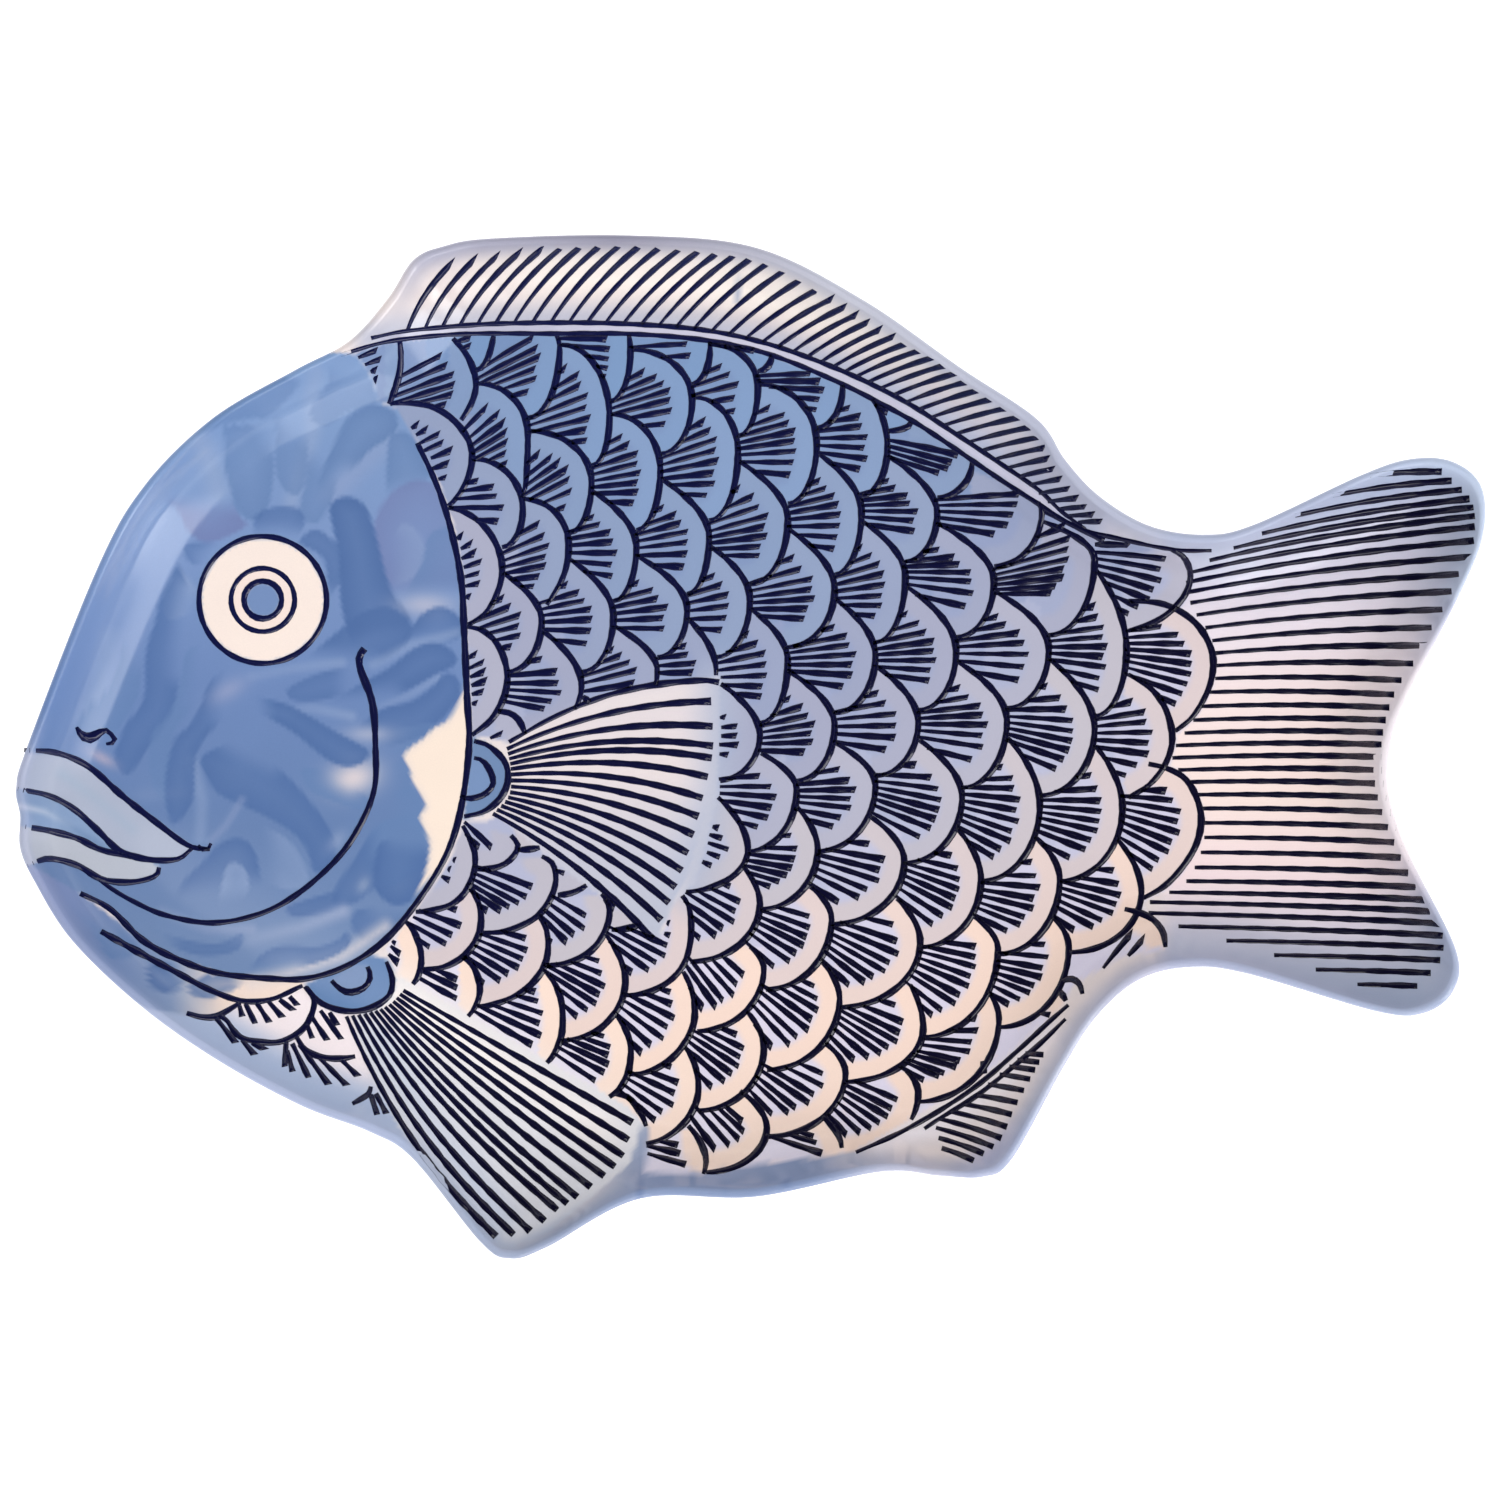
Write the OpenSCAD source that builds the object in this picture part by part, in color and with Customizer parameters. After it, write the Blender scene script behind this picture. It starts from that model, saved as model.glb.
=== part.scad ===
// Fish shaped serving platter: one moulded dish with a printed foil fused over it.
// X runs from the lips (-) to the tail (+), Y from the belly (-) to the back fin (+), Z up.
// The origin is on the table, under the middle of the platter's length and width.

/* [Platter] */
// Length from the lips to the end of the tail
platter_len = 356; // [290:1:430]
// Width from the top of the back fin to the tip of the belly fin
platter_wid = 248; // [205:1:300]
// Height from the table to the top of the lip
platter_high = 22; // [17:0.5:30]

/* [Moulded wall] */
// Thickness of the flat well, with its printed foil
floor_t = 3.2; // [2.4:0.1:4.2]
// Thickness of the rounded lip, with its printed foil
lip_t = 2.4; // [1.8:0.1:3.2]
// Width of the steep wall behind the lip
wall_w = 15; // [12:0.5:18]

/* [Foot ring] */
// Height of the foot ring under the well
foot_high = 2.2; // [1.4:0.1:4]
// Width of the foot ring where it meets the table
foot_w = 3.6; // [2.4:0.1:5]
// Width that the root of the foot ring adds on each side
foot_root_w = 0.9; // [0.4:0.1:1.6]
// Height of that root
foot_root_high = 0.8; // [0.4:0.1:1.2]

/* [Print] */
// Thickness of the printed foil with its clear glaze
foil_t = 0.3; // [0.2:0.05:0.6]
// Thickness of the ink film on the foil
ink_t = 0.1; // [0.08:0.01:0.2]
// Width of an outline stroke
line_w = 1.2; // [0.8:0.05:1.5]
// Width of a fin ray at its outer end
ray_w = 1; // [0.6:0.05:1.2]
// Least gap that is left between two strokes
line_gap = 0.4; // [0.3:0.05:0.6]

/* [Eye] */
// Diameter of the outer ring of the eye
eye_d = 31; // [26:0.5:34]
// Diameter of the ring round the iris
iris_d = 15.5; // [13:0.5:18]
// Diameter of the ring round the pupil
pupil_d = 9.4; // [7:0.1:10.5]

/* [Scales and rays] */
// Width of the gap that a scale leaves for its neighbour's fan of lines
fan_w = 3; // [2:0.1:4]
// Rays of the back fin
back_rays = 48; // [30:1:52]
// Rays of the tail fin
tail_rays = 39; // [24:1:42]
// Rays of the side fin
side_rays = 14; // [9:1:16]
// Rays of the belly fin
belly_rays = 13; // [8:1:14]
// Rays of the anal fin
anal_rays = 12; // [8:1:13]

/* [Hidden] */

// All places are thousandths of the platter's length and width, from the middle of both.
// Each row of the loft is a point of the lip's outer edge and the point of the flat well's edge below it.
loft_shares = [
    [-500, -40, -271, -23], [-492, 2, -273, 11], [-444, 176, -266, 128], [-412, 256, -254, 192],
    [-366, 321, -235, 245], [-310, 368, -211, 294], [-273, 397, -191, 326], [-247, 439, -174, 353],
    [-230, 476, -160, 373], [-209, 489, -149, 389], [-176, 497, -132, 402], [-82, 500, -72, 421],
    [3, 488, -2, 416], [76, 438, 51, 380], [143, 370, 109, 323], [195, 320, 161, 269],
    [215, 280, 183, 233], [238, 244, 212, 197], [271, 216, 252, 164], [309, 207, 296, 143],
    [343, 217, 337, 139], [416, 266, 403, 162], [450, 281, 423, 166], [478, 279, 434, 162],
    [497, 255, 437, 151], [499, 211, 435, 135], [486, 158, 427, 110], [447, 47, 397, 34],
    [435, -3, 389, -3], [435, -49, 389, -42], [448, -105, 397, -83], [480, -199, 420, -146],
    [478, -240, 422, -164], [458, -261, 414, -175], [426, -259, 398, -177], [337, -222, 330, -150],
    [297, -216, 291, -140], [264, -229, 253, -145], [235, -265, 212, -179], [213, -315, 185, -238],
    [178, -403, 141, -330], [158, -421, 122, -350], [129, -420, 98, -357], [88, -416, 68, -361],
    [4, -440, -4, -374], [-75, -442, -75, -362], [-138, -489, -123, -325], [-164, -501, -139, -308],
    [-184, -484, -154, -294], [-230, -403, -188, -257], [-259, -377, -205, -234],
    [-305, -352, -226, -199], [-362, -308, -245, -155], [-415, -254, -259, -113],
    [-462, -190, -267, -72], [-488, -131, -270, -50], [-497, -99, -271, -43], [-497, -68, -271, -36]
];
// Outline of the foot ring, along the middle of its width
foot_shares = [
    [-244, 1], [-228, 143], [-184, 260], [-102, 338], [-7, 353], [88, 289], [170, 197], [245, 104],
    [306, 73], [354, 55], [366, -3], [354, -57], [306, -77], [245, -101], [177, -179], [115, -277],
    [34, -308], [-48, -306], [-130, -257], [-205, -150]
];
// Guide points of the scales: every third row from the back to the belly, every sixth column to the tail
scale_shares = [
    [[-214, 369], [-55, 404], [99, 375], [251, 270]],
    [[-170, 182], [-28, 219], [130, 237], [316, 216]],
    [[-176, 9], [-21, 6], [146, 25], [313, -3]],
    [[-206, -80], [-51, -140], [110, -213], [276, -226]],
    [[-254, -208], [-109, -296], [32, -415], [170, -486]]
];
scale_row_step = 3;
scale_col_step = 6;
// The part of the body that the scales cover, with the side fin cut out of it
scaled_shares = [
    [-236, 392], [-130, 400], [-34, 394], [11, 380], [60, 353], [104, 316], [139, 283], [174, 250],
    [209, 220], [237, 200], [296, 186], [305, 172], [301, 145], [316, 114], [321, 75], [309, 34],
    [291, 6], [287, -23], [306, -47], [314, -77], [307, -119], [275, -152], [287, -194], [252, -206],
    [221, -233], [211, -259], [170, -312], [136, -343], [102, -372], [71, -397], [6, -409],
    [-32, -418], [-72, -418], [-70, -374], [-85, -353], [-143, -306], [-191, -265], [-225, -238],
    [-240, -226], [-249, -199], [-237, -177], [-220, -145], [-205, -113], [-195, -74], [-181, -74],
    [-171, -67], [-130, -119], [-93, -155], [-60, -186], [-53, -155], [-38, -135], [-31, -101],
    [-23, -52], [-21, 6], [-21, 70], [-68, 60], [-102, 48], [-136, 28], [-165, 4], [-177, 8],
    [-191, 10], [-191, 47], [-194, 104], [-196, 164], [-202, 216], [-212, 258], [-225, 294],
    [-240, 328]
];
eye_shares = [-333, 144];
nostril_shares = [
    [-457, 17], [-449, 8], [-441, 17], [-435, 5]
];
upper_lip_top_shares = [
    [-489, -4], [-473, -6], [-452, -20], [-429, -48], [-407, -74], [-384, -97], [-369, -101]
];
upper_lip_foot_shares = [
    [-495, -42], [-478, -48], [-461, -62], [-444, -84], [-431, -102], [-412, -111], [-392, -111]
];
lower_lip_top_shares = [
    [-493, -79], [-478, -82], [-459, -90], [-444, -101]
];
lower_lip_foot_shares = [
    [-488, -116], [-478, -110], [-459, -117], [-443, -130], [-423, -133], [-407, -127]
];
cheek_shares = [
    [-264, 95], [-267, 76], [-258, 42], [-256, 0], [-257, -41], [-267, -79], [-283, -111],
    [-309, -144], [-335, -164], [-368, -173], [-400, -165], [-422, -152], [-437, -139]
];
jaw_shares = [
    [-443, -181], [-416, -202], [-390, -223], [-371, -238], [-348, -249], [-328, -248], [-306, -235]
];
gill_shares = [
    [-228, 298], [-215, 258], [-205, 216], [-198, 164], [-196, 114], [-194, 47], [-192, 0],
    [-198, -60], [-208, -107], [-228, -153], [-250, -191], [-277, -216], [-303, -228], [-328, -228],
    [-361, -223], [-387, -211], [-414, -191], [-437, -160], [-457, -144]
];
// The double line under the back fin, and the two curves that its rays run between
back_upper_shares = [
    [-258, 400], [-234, 407], [-186, 414], [-136, 416], [-87, 415], [-34, 409], [11, 396], [60, 370],
    [104, 339], [139, 308], [174, 275], [197, 253]
];
back_lower_shares = [
    [-279, 383], [-250, 396], [-218, 402], [-186, 405], [-136, 405], [-87, 405], [-34, 400], [11, 386],
    [60, 358], [104, 330], [139, 299], [174, 267], [211, 234], [237, 212], [264, 200], [292, 193]
];
back_root_shares = [
    [-235, 413], [-134, 423], [-41, 418], [41, 393], [106, 347], [178, 278], [234, 222]
];
back_tip_shares = [
    [-200, 474], [-139, 487], [-86, 492], [-33, 486], [9, 475], [46, 445], [80, 417], [114, 385],
    [149, 357], [183, 323], [203, 281], [222, 246], [243, 225]
];
// The half discs at the roots of the side and belly fins, and the curves that their rays run between
side_disc_shares = [
    [-189, 5], [-179, 0], [-168, -15], [-166, -34], [-171, -51], [-182, -64], [-196, -69]
];
side_core_shares = [
    [-189, -11], [-183, -14], [-177, -26], [-176, -38], [-182, -47], [-192, -51]
];
side_root_shares = [
    [-161, -3], [-158, -25], [-161, -48], [-171, -69]
];
side_tip_shares = [
    [-26, 63], [-28, 27], [-28, -11], [-30, -45], [-35, -77], [-41, -119], [-59, -160], [-72, -194]
];
belly_disc_shares = [
    [-303, -236], [-296, -249], [-285, -257], [-272, -260], [-258, -256], [-247, -244], [-245, -228],
    [-249, -211]
];
belly_core_shares = [
    [-286, -230], [-281, -238], [-273, -241], [-264, -237], [-260, -226], [-262, -216]
];
belly_root_shares = [
    [-237, -240], [-247, -253], [-260, -261], [-276, -265]
];
belly_tip_shares = [
    [-81, -369], [-87, -401], [-100, -421], [-118, -441], [-132, -454], [-150, -475], [-173, -480]
];
// The double line over the anal fin, and the two curves that its rays run between
anal_upper_shares = [
    [72, -398], [102, -379], [129, -358], [156, -330], [183, -297], [204, -270], [216, -255]
];
anal_lower_shares = [
    [119, -375], [129, -366], [156, -340], [183, -309], [200, -288], [213, -270]
];
anal_root_shares = [
    [195, -304], [176, -326], [158, -349], [138, -370], [132, -396]
];
anal_tip_shares = [
    [200, -303], [190, -326], [180, -355], [170, -386], [152, -405]
];
// The two curves that the tail rays run between
tail_root_shares = [
    [422, 265], [348, 208], [304, 172], [303, 141], [320, 106], [322, 67], [309, 26], [290, -17],
    [310, -49], [314, -90], [302, -132], [279, -166], [357, -204], [442, -247]
];
tail_tip_shares = [
    [471, 270], [490, 238], [492, 197], [481, 156], [463, 109], [446, 64], [432, 19], [429, -15],
    [432, -56], [440, -95], [451, -129], [463, -171], [469, -210], [446, -253]
];

loft_steps = 2;
near_wall_shares = [0.62, 0.34, 0.14];
far_wall_share = 0.4;
wall_rings = 5;
lip_steps = 3;
under_steps = 2;
foot_steps = 5;
scale_segs = 7;
scale_round_share = 0.9;
ring_segs = 22;
upper_rings = wall_rings + 1 + lip_steps;
under_rings = wall_rings + 1 + under_steps;
// How far the first and the last ray of each fin bow to the left of their way, in shares of their length
back_bow_shares = [0.06, 0.02];
side_bow_shares = [0.05, 0.01];
belly_bow_shares = [0, -0.052];
anal_bow_shares = [0, 0.02];
tail_bow_shares = [0.02, 0];
// Width of an outline at its two ends, and of a ray at its root, in shares of their full width
outline_end_share = 0.5;
ray_root_share = 0.6;

function sum_at(a, b, c, d, t) =
    (2 * b + (c - a) * t + (2 * a - 5 * b + 4 * c - d) * t * t + (3 * b - a - 3 * c + d) * t * t * t) / 2;
function round_at(list, i) = list[(i + len(list)) % len(list)];
function closed_curve(list, steps) = [
    for (i = [0 : len(list) - 1]) for (k = [0 : steps - 1])
        sum_at(round_at(list, i - 1), list[i], round_at(list, i + 1), round_at(list, i + 2), k / steps)
];
// The point at share t of an open curve, with its ends carried on straight
function curve_at(list, t) =
    let (
        n = len(list) - 1,
        i = max(0, min(floor(t * n), n - 1)),
        before = i > 0 ? list[i - 1] : 2 * list[0] - list[1],
        after = i < n - 1 ? list[i + 2] : 2 * list[n] - list[n - 1]
    ) sum_at(before, list[i], list[i + 1], after, t * n - i);
function open_curve(list, segs) = [for (k = [0 : segs]) curve_at(list, k / segs)];

loft = closed_curve(loft_shares, loft_steps);
stations = len(loft);
min_x = min([for (p = loft) p[0]]);
max_x = max([for (p = loft) p[0]]);
min_y = min([for (p = loft) p[1]]);
max_y = max([for (p = loft) p[1]]);
function at(p) = [
    platter_len * ((p[0] - min_x) / (max_x - min_x) - 1 / 2),
    platter_wid * ((p[1] - min_y) / (max_y - min_y) - 1 / 2)
];
function all_at(list) = [for (p = list) at(p)];
rim = [for (p = loft) at(p)];
well = [for (p = loft) at([p[2], p[3]])];
run = [for (i = [0 : stations - 1]) norm(well[i] - rim[i])];
inward = [for (i = [0 : stations - 1]) (well[i] - rim[i]) / run[i]];
onward = [for (d = inward) [-d[1], d[0]]];

lip_r = lip_t / 2;
floor_top = foot_high + floor_t;
floor_mid = foot_high + floor_t / 2;
rise = platter_high - lip_r - floor_mid;
middle = at([0, 0]);

// The wall's mid line at share u of its way up: a slow dish, and a steep part next to the lip
function steep(r) = max(0, 1 - wall_w / r);
function fall(r) = 2 * r / wall_w;
function mid_w(r, u) = lip_r + (1 - u) * (r - lip_r);
function mid_z(r, u) = floor_mid + rise * ((1 - steep(r)) * u * u + steep(r) * pow(u, fall(r)));
function tilt(r, u) =
    atan(rise / (r - lip_r) * (2 * (1 - steep(r)) * u + fall(r) * steep(r) * pow(u, fall(r) - 1)));
function half_t(u) = (floor_t + (lip_t - floor_t) * u) / 2;
// A point of the section, as its way in from the edge and its height, d to the upper side of the mid line
function wall_pt(r, u, d) = [mid_w(r, u) + d * sin(tilt(r, u)), mid_z(r, u) + d * cos(tilt(r, u))];
function lip_pt(angle, d) = [lip_r - d * cos(angle), platter_high - lip_r + d * sin(angle)];
function ring_u(r, j) =
    let (
        far = r - lip_r,
        near = min(wall_w, far),
        w = j == 0 ? far
          : j == wall_rings ? 0
          : j == 1 ? near * near_wall_shares[0] + far_wall_share * (far - near * near_wall_shares[0])
          : near * near_wall_shares[j - 2]
    ) 1 - w / far;
// The upper side of the wall and over the lip to its outermost edge, sunk by d
function upper_side(r, d) = concat(
    [for (j = [0 : wall_rings]) let (u = ring_u(r, j)) wall_pt(r, u, half_t(u) - d)],
    [for (k = [1 : lip_steps]) lip_pt((90 + tilt(r, 1)) * (1 - k / lip_steps), lip_r - d)]
);
function under_side(r) = concat(
    [lip_pt(0, lip_r)],
    [for (k = [1 : under_steps]) lip_pt((tilt(r, 1) - 90) * k / under_steps, lip_r)],
    [for (j = [wall_rings - 1 : -1 : 0]) let (u = ring_u(r, j)) wall_pt(r, u, -half_t(u))]
);
function turned(list) = [for (k = [len(list) - 1 : -1 : 0]) list[k]];

// A solid through one section for each station, closed by a flat cap at each end of the sections.
// Bands from number turn on are split along their other diagonal, so that foil and body share one face.
module moulded(sections, turn) {
    rings = len(sections[0]);
    hub = rings * stations;
    points = [
        for (j = [0 : rings - 1]) for (i = [0 : stations - 1])
            let (s = sections[i][j], p = rim[i] + inward[i] * s[0]) [p[0], p[1], s[1]]
    ];
    hubs = [
        [middle[0], middle[1], sections[0][0][1]],
        [middle[0], middle[1], sections[0][rings - 1][1]]
    ];
    last = (rings - 1) * stations;
    caps = [
        for (i = [0 : stations - 1])
            let (n = (i + 1) % stations) each [[hub, i, n], [hub + 1, last + n, last + i]]
    ];
    bands = [
        for (j = [0 : rings - 2]) for (i = [0 : stations - 1])
            let (
                n = (i + 1) % stations,
                a = j * stations + i,
                b = j * stations + n,
                c = b + stations,
                d = a + stations
            ) each j < turn ? [[a, d, c], [a, c, b]] : [[a, d, b], [d, c, b]]
    ];
    polyhedron(concat(points, hubs), concat(caps, bands));
}

function grown(list, d) = [
    for (i = [0 : len(list) - 1])
        let (t = round_at(list, i + 1) - round_at(list, i - 1)) list[i] + [-t[1], t[0]] / norm(t) * d
];
module foot_band(width, high) {
    path = closed_curve(all_at(foot_shares), foot_steps);
    linear_extrude(high)
        difference() {
            polygon(grown(path, width / 2));
            polygon(grown(path, -width / 2));
        }
}

// Height of the printed face at a place
upper_tables = [for (r = run) upper_side(r, 0)];
function height_at(p) = max([
    floor_top,
    for (i = [0 : stations - 1])
        let (
            n = (i + 1) % stations,
            a = (p - rim[i]) * onward[i],
            b = (p - rim[n]) * onward[n],
            t = a / (a - b),
            w = (1 - t) * (p - rim[i]) * inward[i] + t * (p - rim[n]) * inward[n]
        )
        if (a >= 0 && b < 0 && w > 0)
            (1 - t) * lookup(w, upper_tables[i]) + t * lookup(w, upper_tables[n])
]);

// One stroke of ink along a path: a flat prism on the well, or a strip that follows the wall
function along(path, k, closed) =
    let (n = len(path))
        closed ? round_at(path, k + 1) - round_at(path, k - 1)
               : path[min(k + 1, n - 1)] - path[max(k - 1, 0)];
function sides(path, widths, closed) = [
    for (k = [0 : len(path) - 1])
        let (t = along(path, k, closed), side = [-t[1], t[0]] / norm(t) * widths[k] / 2)
            [path[k] + side, path[k] - side]
];
module stroke(path, widths, closed = false) {
    edges = sides(path, widths, closed);
    n = len(path);
    heights = [for (e = edges) [height_at(e[0]), height_at(e[1])]];
    if (max([for (h = heights) max(h)]) <= floor_top && !closed)
        translate([0, 0, floor_top])
            linear_extrude(ink_t)
                polygon(concat([for (e = edges) e[0]], [for (k = [n - 1 : -1 : 0]) edges[k][1]]));
    else {
        points = [
            for (k = [0 : n - 1])
                let (e = edges[k], h = heights[k]) each [
                    [e[0][0], e[0][1], h[0]], [e[1][0], e[1][1], h[1]],
                    [e[1][0], e[1][1], h[1] + ink_t], [e[0][0], e[0][1], h[0] + ink_t]
                ]
        ];
        last = 4 * (n - 1);
        ends = closed ? [] : [[0, 3, 2], [0, 2, 1], [last, last + 1, last + 2], [last, last + 2, last + 3]];
        // Both sides of a strip are split along the same diagonal, so that a twisted one keeps its thickness
        bands = [
            for (k = [0 : closed ? n - 1 : n - 2]) for (s = [0 : 3])
                let (
                    q = (s + 1) % 4,
                    m = 4 * ((k + 1) % n),
                    a = 4 * k + s,
                    b = 4 * k + q,
                    c = m + q,
                    d = m + s
                )
                    each s == 2 ? [[a, b, d], [b, c, d]] : [[a, b, c], [a, c, d]]
        ];
        polyhedron(points, concat(ends, bands));
    }
}

// Brush strokes: an outline thins out at both ends, a ray swells to its outer end
function outline_widths(n) = [
    for (k = [0 : n - 1])
        line_w * (outline_end_share + (1 - outline_end_share) * sqrt(sin(180 * k / (n - 1))))
];
function ray_widths(n) = [
    for (k = [0 : n - 1]) ray_w * (ray_root_share + (1 - ray_root_share) * k / (n - 1))
];
module outline(shares, segs) {
    path = open_curve(all_at(shares), segs);
    stroke(path, outline_widths(len(path)));
}
// Rays from a root curve to a tip curve. The back, side and tail curves run on for one gap past the
// last ray, so they have as many gaps as rays; the belly and anal curves end at the last ray.
module rays(roots, tips, count, gaps, segs, bow_shares) {
    for (i = [0 : count - 1]) {
        t = i / gaps;
        a = curve_at(all_at(roots), t);
        b = curve_at(all_at(tips), t);
        bow = (bow_shares[0] + (bow_shares[1] - bow_shares[0]) * t) * [a[1] - b[1], b[0] - a[0]];
        stroke(
            [for (k = [0 : segs]) let (s = k / segs) a + (b - a) * s + bow * 4 * s * (1 - s)],
            ray_widths(segs + 1)
        );
    }
}

// Scales: tips lie on a staggered lattice, and each arc runs from behind one tip to behind the next
scaled_area = all_at(scaled_shares);
last_row = scale_row_step * (len(scale_shares) - 1);
last_col = scale_col_step * (len(scale_shares[0]) - 1);
function tip_at(row, col) =
    at(curve_at([for (line = scale_shares) curve_at(line, col / last_col)], row / last_row));
function crosses(p, a, b) = (a[1] > p[1]) != (b[1] > p[1])
    && p[0] < a[0] + (b[0] - a[0]) * (p[1] - a[1]) / (b[1] - a[1]);
function within(p, area) =
    len([for (i = [0 : len(area) - 1]) if (crosses(p, area[i], round_at(area, i + 1))) i]) % 2 == 1;
function scale_arc(row, col) =
    let (
        top = tip_at(row - 1, col - 1),
        foot = tip_at(row + 1, col - 1),
        tip = tip_at(row, col),
        down = (foot - top) / norm(foot - top),
        out = [-down[1], down[0]] * (line_w + line_gap),
        a = top + down * fan_w + out,
        b = foot - down * fan_w + out,
        mid = (a + b) / 2
    ) [
        for (k = [0 : scale_segs])
            let (t = 2 * k / scale_segs - 1)
                mid + (b - a) / 2 * t + (tip - mid) * pow(1 - t * t, scale_round_share)
    ];
// The first unbroken run of an arc that lies inside the scaled part of the body
function kept(arc) =
    let (
        held = [for (p = arc) within(p, scaled_area)],
        first = [for (k = [0 : len(arc) - 1]) if (held[k] && (k == 0 || !held[k - 1])) k],
        stop = len(first) == 0 ? [] : [for (k = [first[0] : len(arc) - 1]) if (!held[k]) k],
        end = len(stop) == 0 ? len(arc) - 1 : stop[0] - 1
    ) len(first) == 0 ? [] : [for (k = [first[0] : end]) arc[k]];

module platter_body() color([0.95, 0.95, 0.96])
    union() {
        moulded(
            [for (r = run) concat(upper_side(r, foil_t), under_side(r))],
            upper_rings + under_rings
        );
        foot_band(foot_w, floor_mid);
        translate([0, 0, foot_high - foot_root_high])
            foot_band(foot_w + 2 * foot_root_w, foot_root_high + floor_t / 2);
    }
module print_foil() color([0.56, 0.67, 0.82])
    moulded([for (r = run) concat(upper_side(r, 0), turned(upper_side(r, foil_t)))], upper_rings);
module ink() color([0.05, 0.05, 0.22]) children();
module eye_ink() ink()
    for (d = [eye_d, iris_d, pupil_d]) {
        angles = [for (k = [0 : ring_segs - 1]) 360 * k / ring_segs];
        path = [for (a = angles) at(eye_shares) + d / 2 * [cos(a), sin(a)]];
        stroke(path, [for (a = angles) line_w], closed = true);
    }
module mouth_ink() ink() {
    outline(upper_lip_top_shares, 10);
    outline(upper_lip_foot_shares, 10);
    outline(lower_lip_top_shares, 6);
    outline(lower_lip_foot_shares, 8);
    outline(nostril_shares, 5);
}
module cheek_ink() ink() {
    outline(cheek_shares, 16);
    outline(jaw_shares, 9);
}
module gill_ink() ink() outline(gill_shares, 28);
module scale_ink() ink()
    for (row = [-1 : last_row + 1]) for (col = [0 : last_col + 1])
        if ((row + col + 2) % 2 == 1) {
            arc = kept(scale_arc(row, col));
            if (len(arc) > 3) stroke(arc, outline_widths(len(arc)));
        }
module back_fin_ink() ink() {
    outline(back_upper_shares, 20);
    outline(back_lower_shares, 20);
    rays(back_root_shares, back_tip_shares, back_rays, back_rays, 2, back_bow_shares);
}
module side_fin_ink() ink() {
    outline(side_disc_shares, 9);
    outline(side_core_shares, 8);
    rays(side_root_shares, side_tip_shares, side_rays, side_rays, 5, side_bow_shares);
}
module belly_fin_ink() ink() {
    outline(belly_disc_shares, 10);
    outline(belly_core_shares, 8);
    rays(belly_root_shares, belly_tip_shares, belly_rays, belly_rays - 1, 4, belly_bow_shares);
}
module anal_fin_ink() ink() {
    outline(anal_upper_shares, 8);
    outline(anal_lower_shares, 6);
    rays(anal_root_shares, anal_tip_shares, anal_rays, anal_rays - 1, 2, anal_bow_shares);
}
module tail_fin_ink() ink()
    rays(tail_root_shares, tail_tip_shares, tail_rays, tail_rays, 3, tail_bow_shares);

platter_body();
print_foil();
eye_ink();
mouth_ink();
cheek_ink();
gill_ink();
scale_ink();
back_fin_ink();
side_fin_ink();
belly_fin_ink();
anal_fin_ink();
tail_fin_ink();
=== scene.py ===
import math

import bpy
import numpy as np
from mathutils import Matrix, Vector
from mathutils.bvhtree import BVHTree
from mathutils.geometry import delaunay_2d_cdt


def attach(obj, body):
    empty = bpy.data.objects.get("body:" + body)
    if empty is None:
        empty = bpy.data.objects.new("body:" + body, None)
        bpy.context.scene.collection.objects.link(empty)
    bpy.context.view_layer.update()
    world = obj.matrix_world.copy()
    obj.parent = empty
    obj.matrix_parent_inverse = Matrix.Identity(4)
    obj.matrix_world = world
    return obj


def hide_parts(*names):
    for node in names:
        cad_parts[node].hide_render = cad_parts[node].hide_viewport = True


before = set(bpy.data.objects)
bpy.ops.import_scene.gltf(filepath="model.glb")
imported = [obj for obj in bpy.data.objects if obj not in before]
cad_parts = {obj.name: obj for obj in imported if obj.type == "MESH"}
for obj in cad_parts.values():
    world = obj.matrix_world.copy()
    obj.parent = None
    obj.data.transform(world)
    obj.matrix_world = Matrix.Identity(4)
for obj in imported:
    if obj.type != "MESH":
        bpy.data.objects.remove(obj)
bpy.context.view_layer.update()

# The platter's body is one moulding of white melamine, pressed in a polished steel mould.
# Its wall sweeps up slowly under the head and steeply elsewhere, and ends in a rounded lip.
# It stands on a foot ring that is moulded on under the well. Its sizes are in millimetres.
platter_length, platter_width, platter_height = 356.0, 248.0, 22.0
floor_thick, lip_thick, wall_width = 3.2, 2.4, 15.0
foot_height, foot_width, foot_root_width, foot_root_height = 2.2, 3.6, 0.9, 0.8
foil_thick = 0.3

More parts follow.
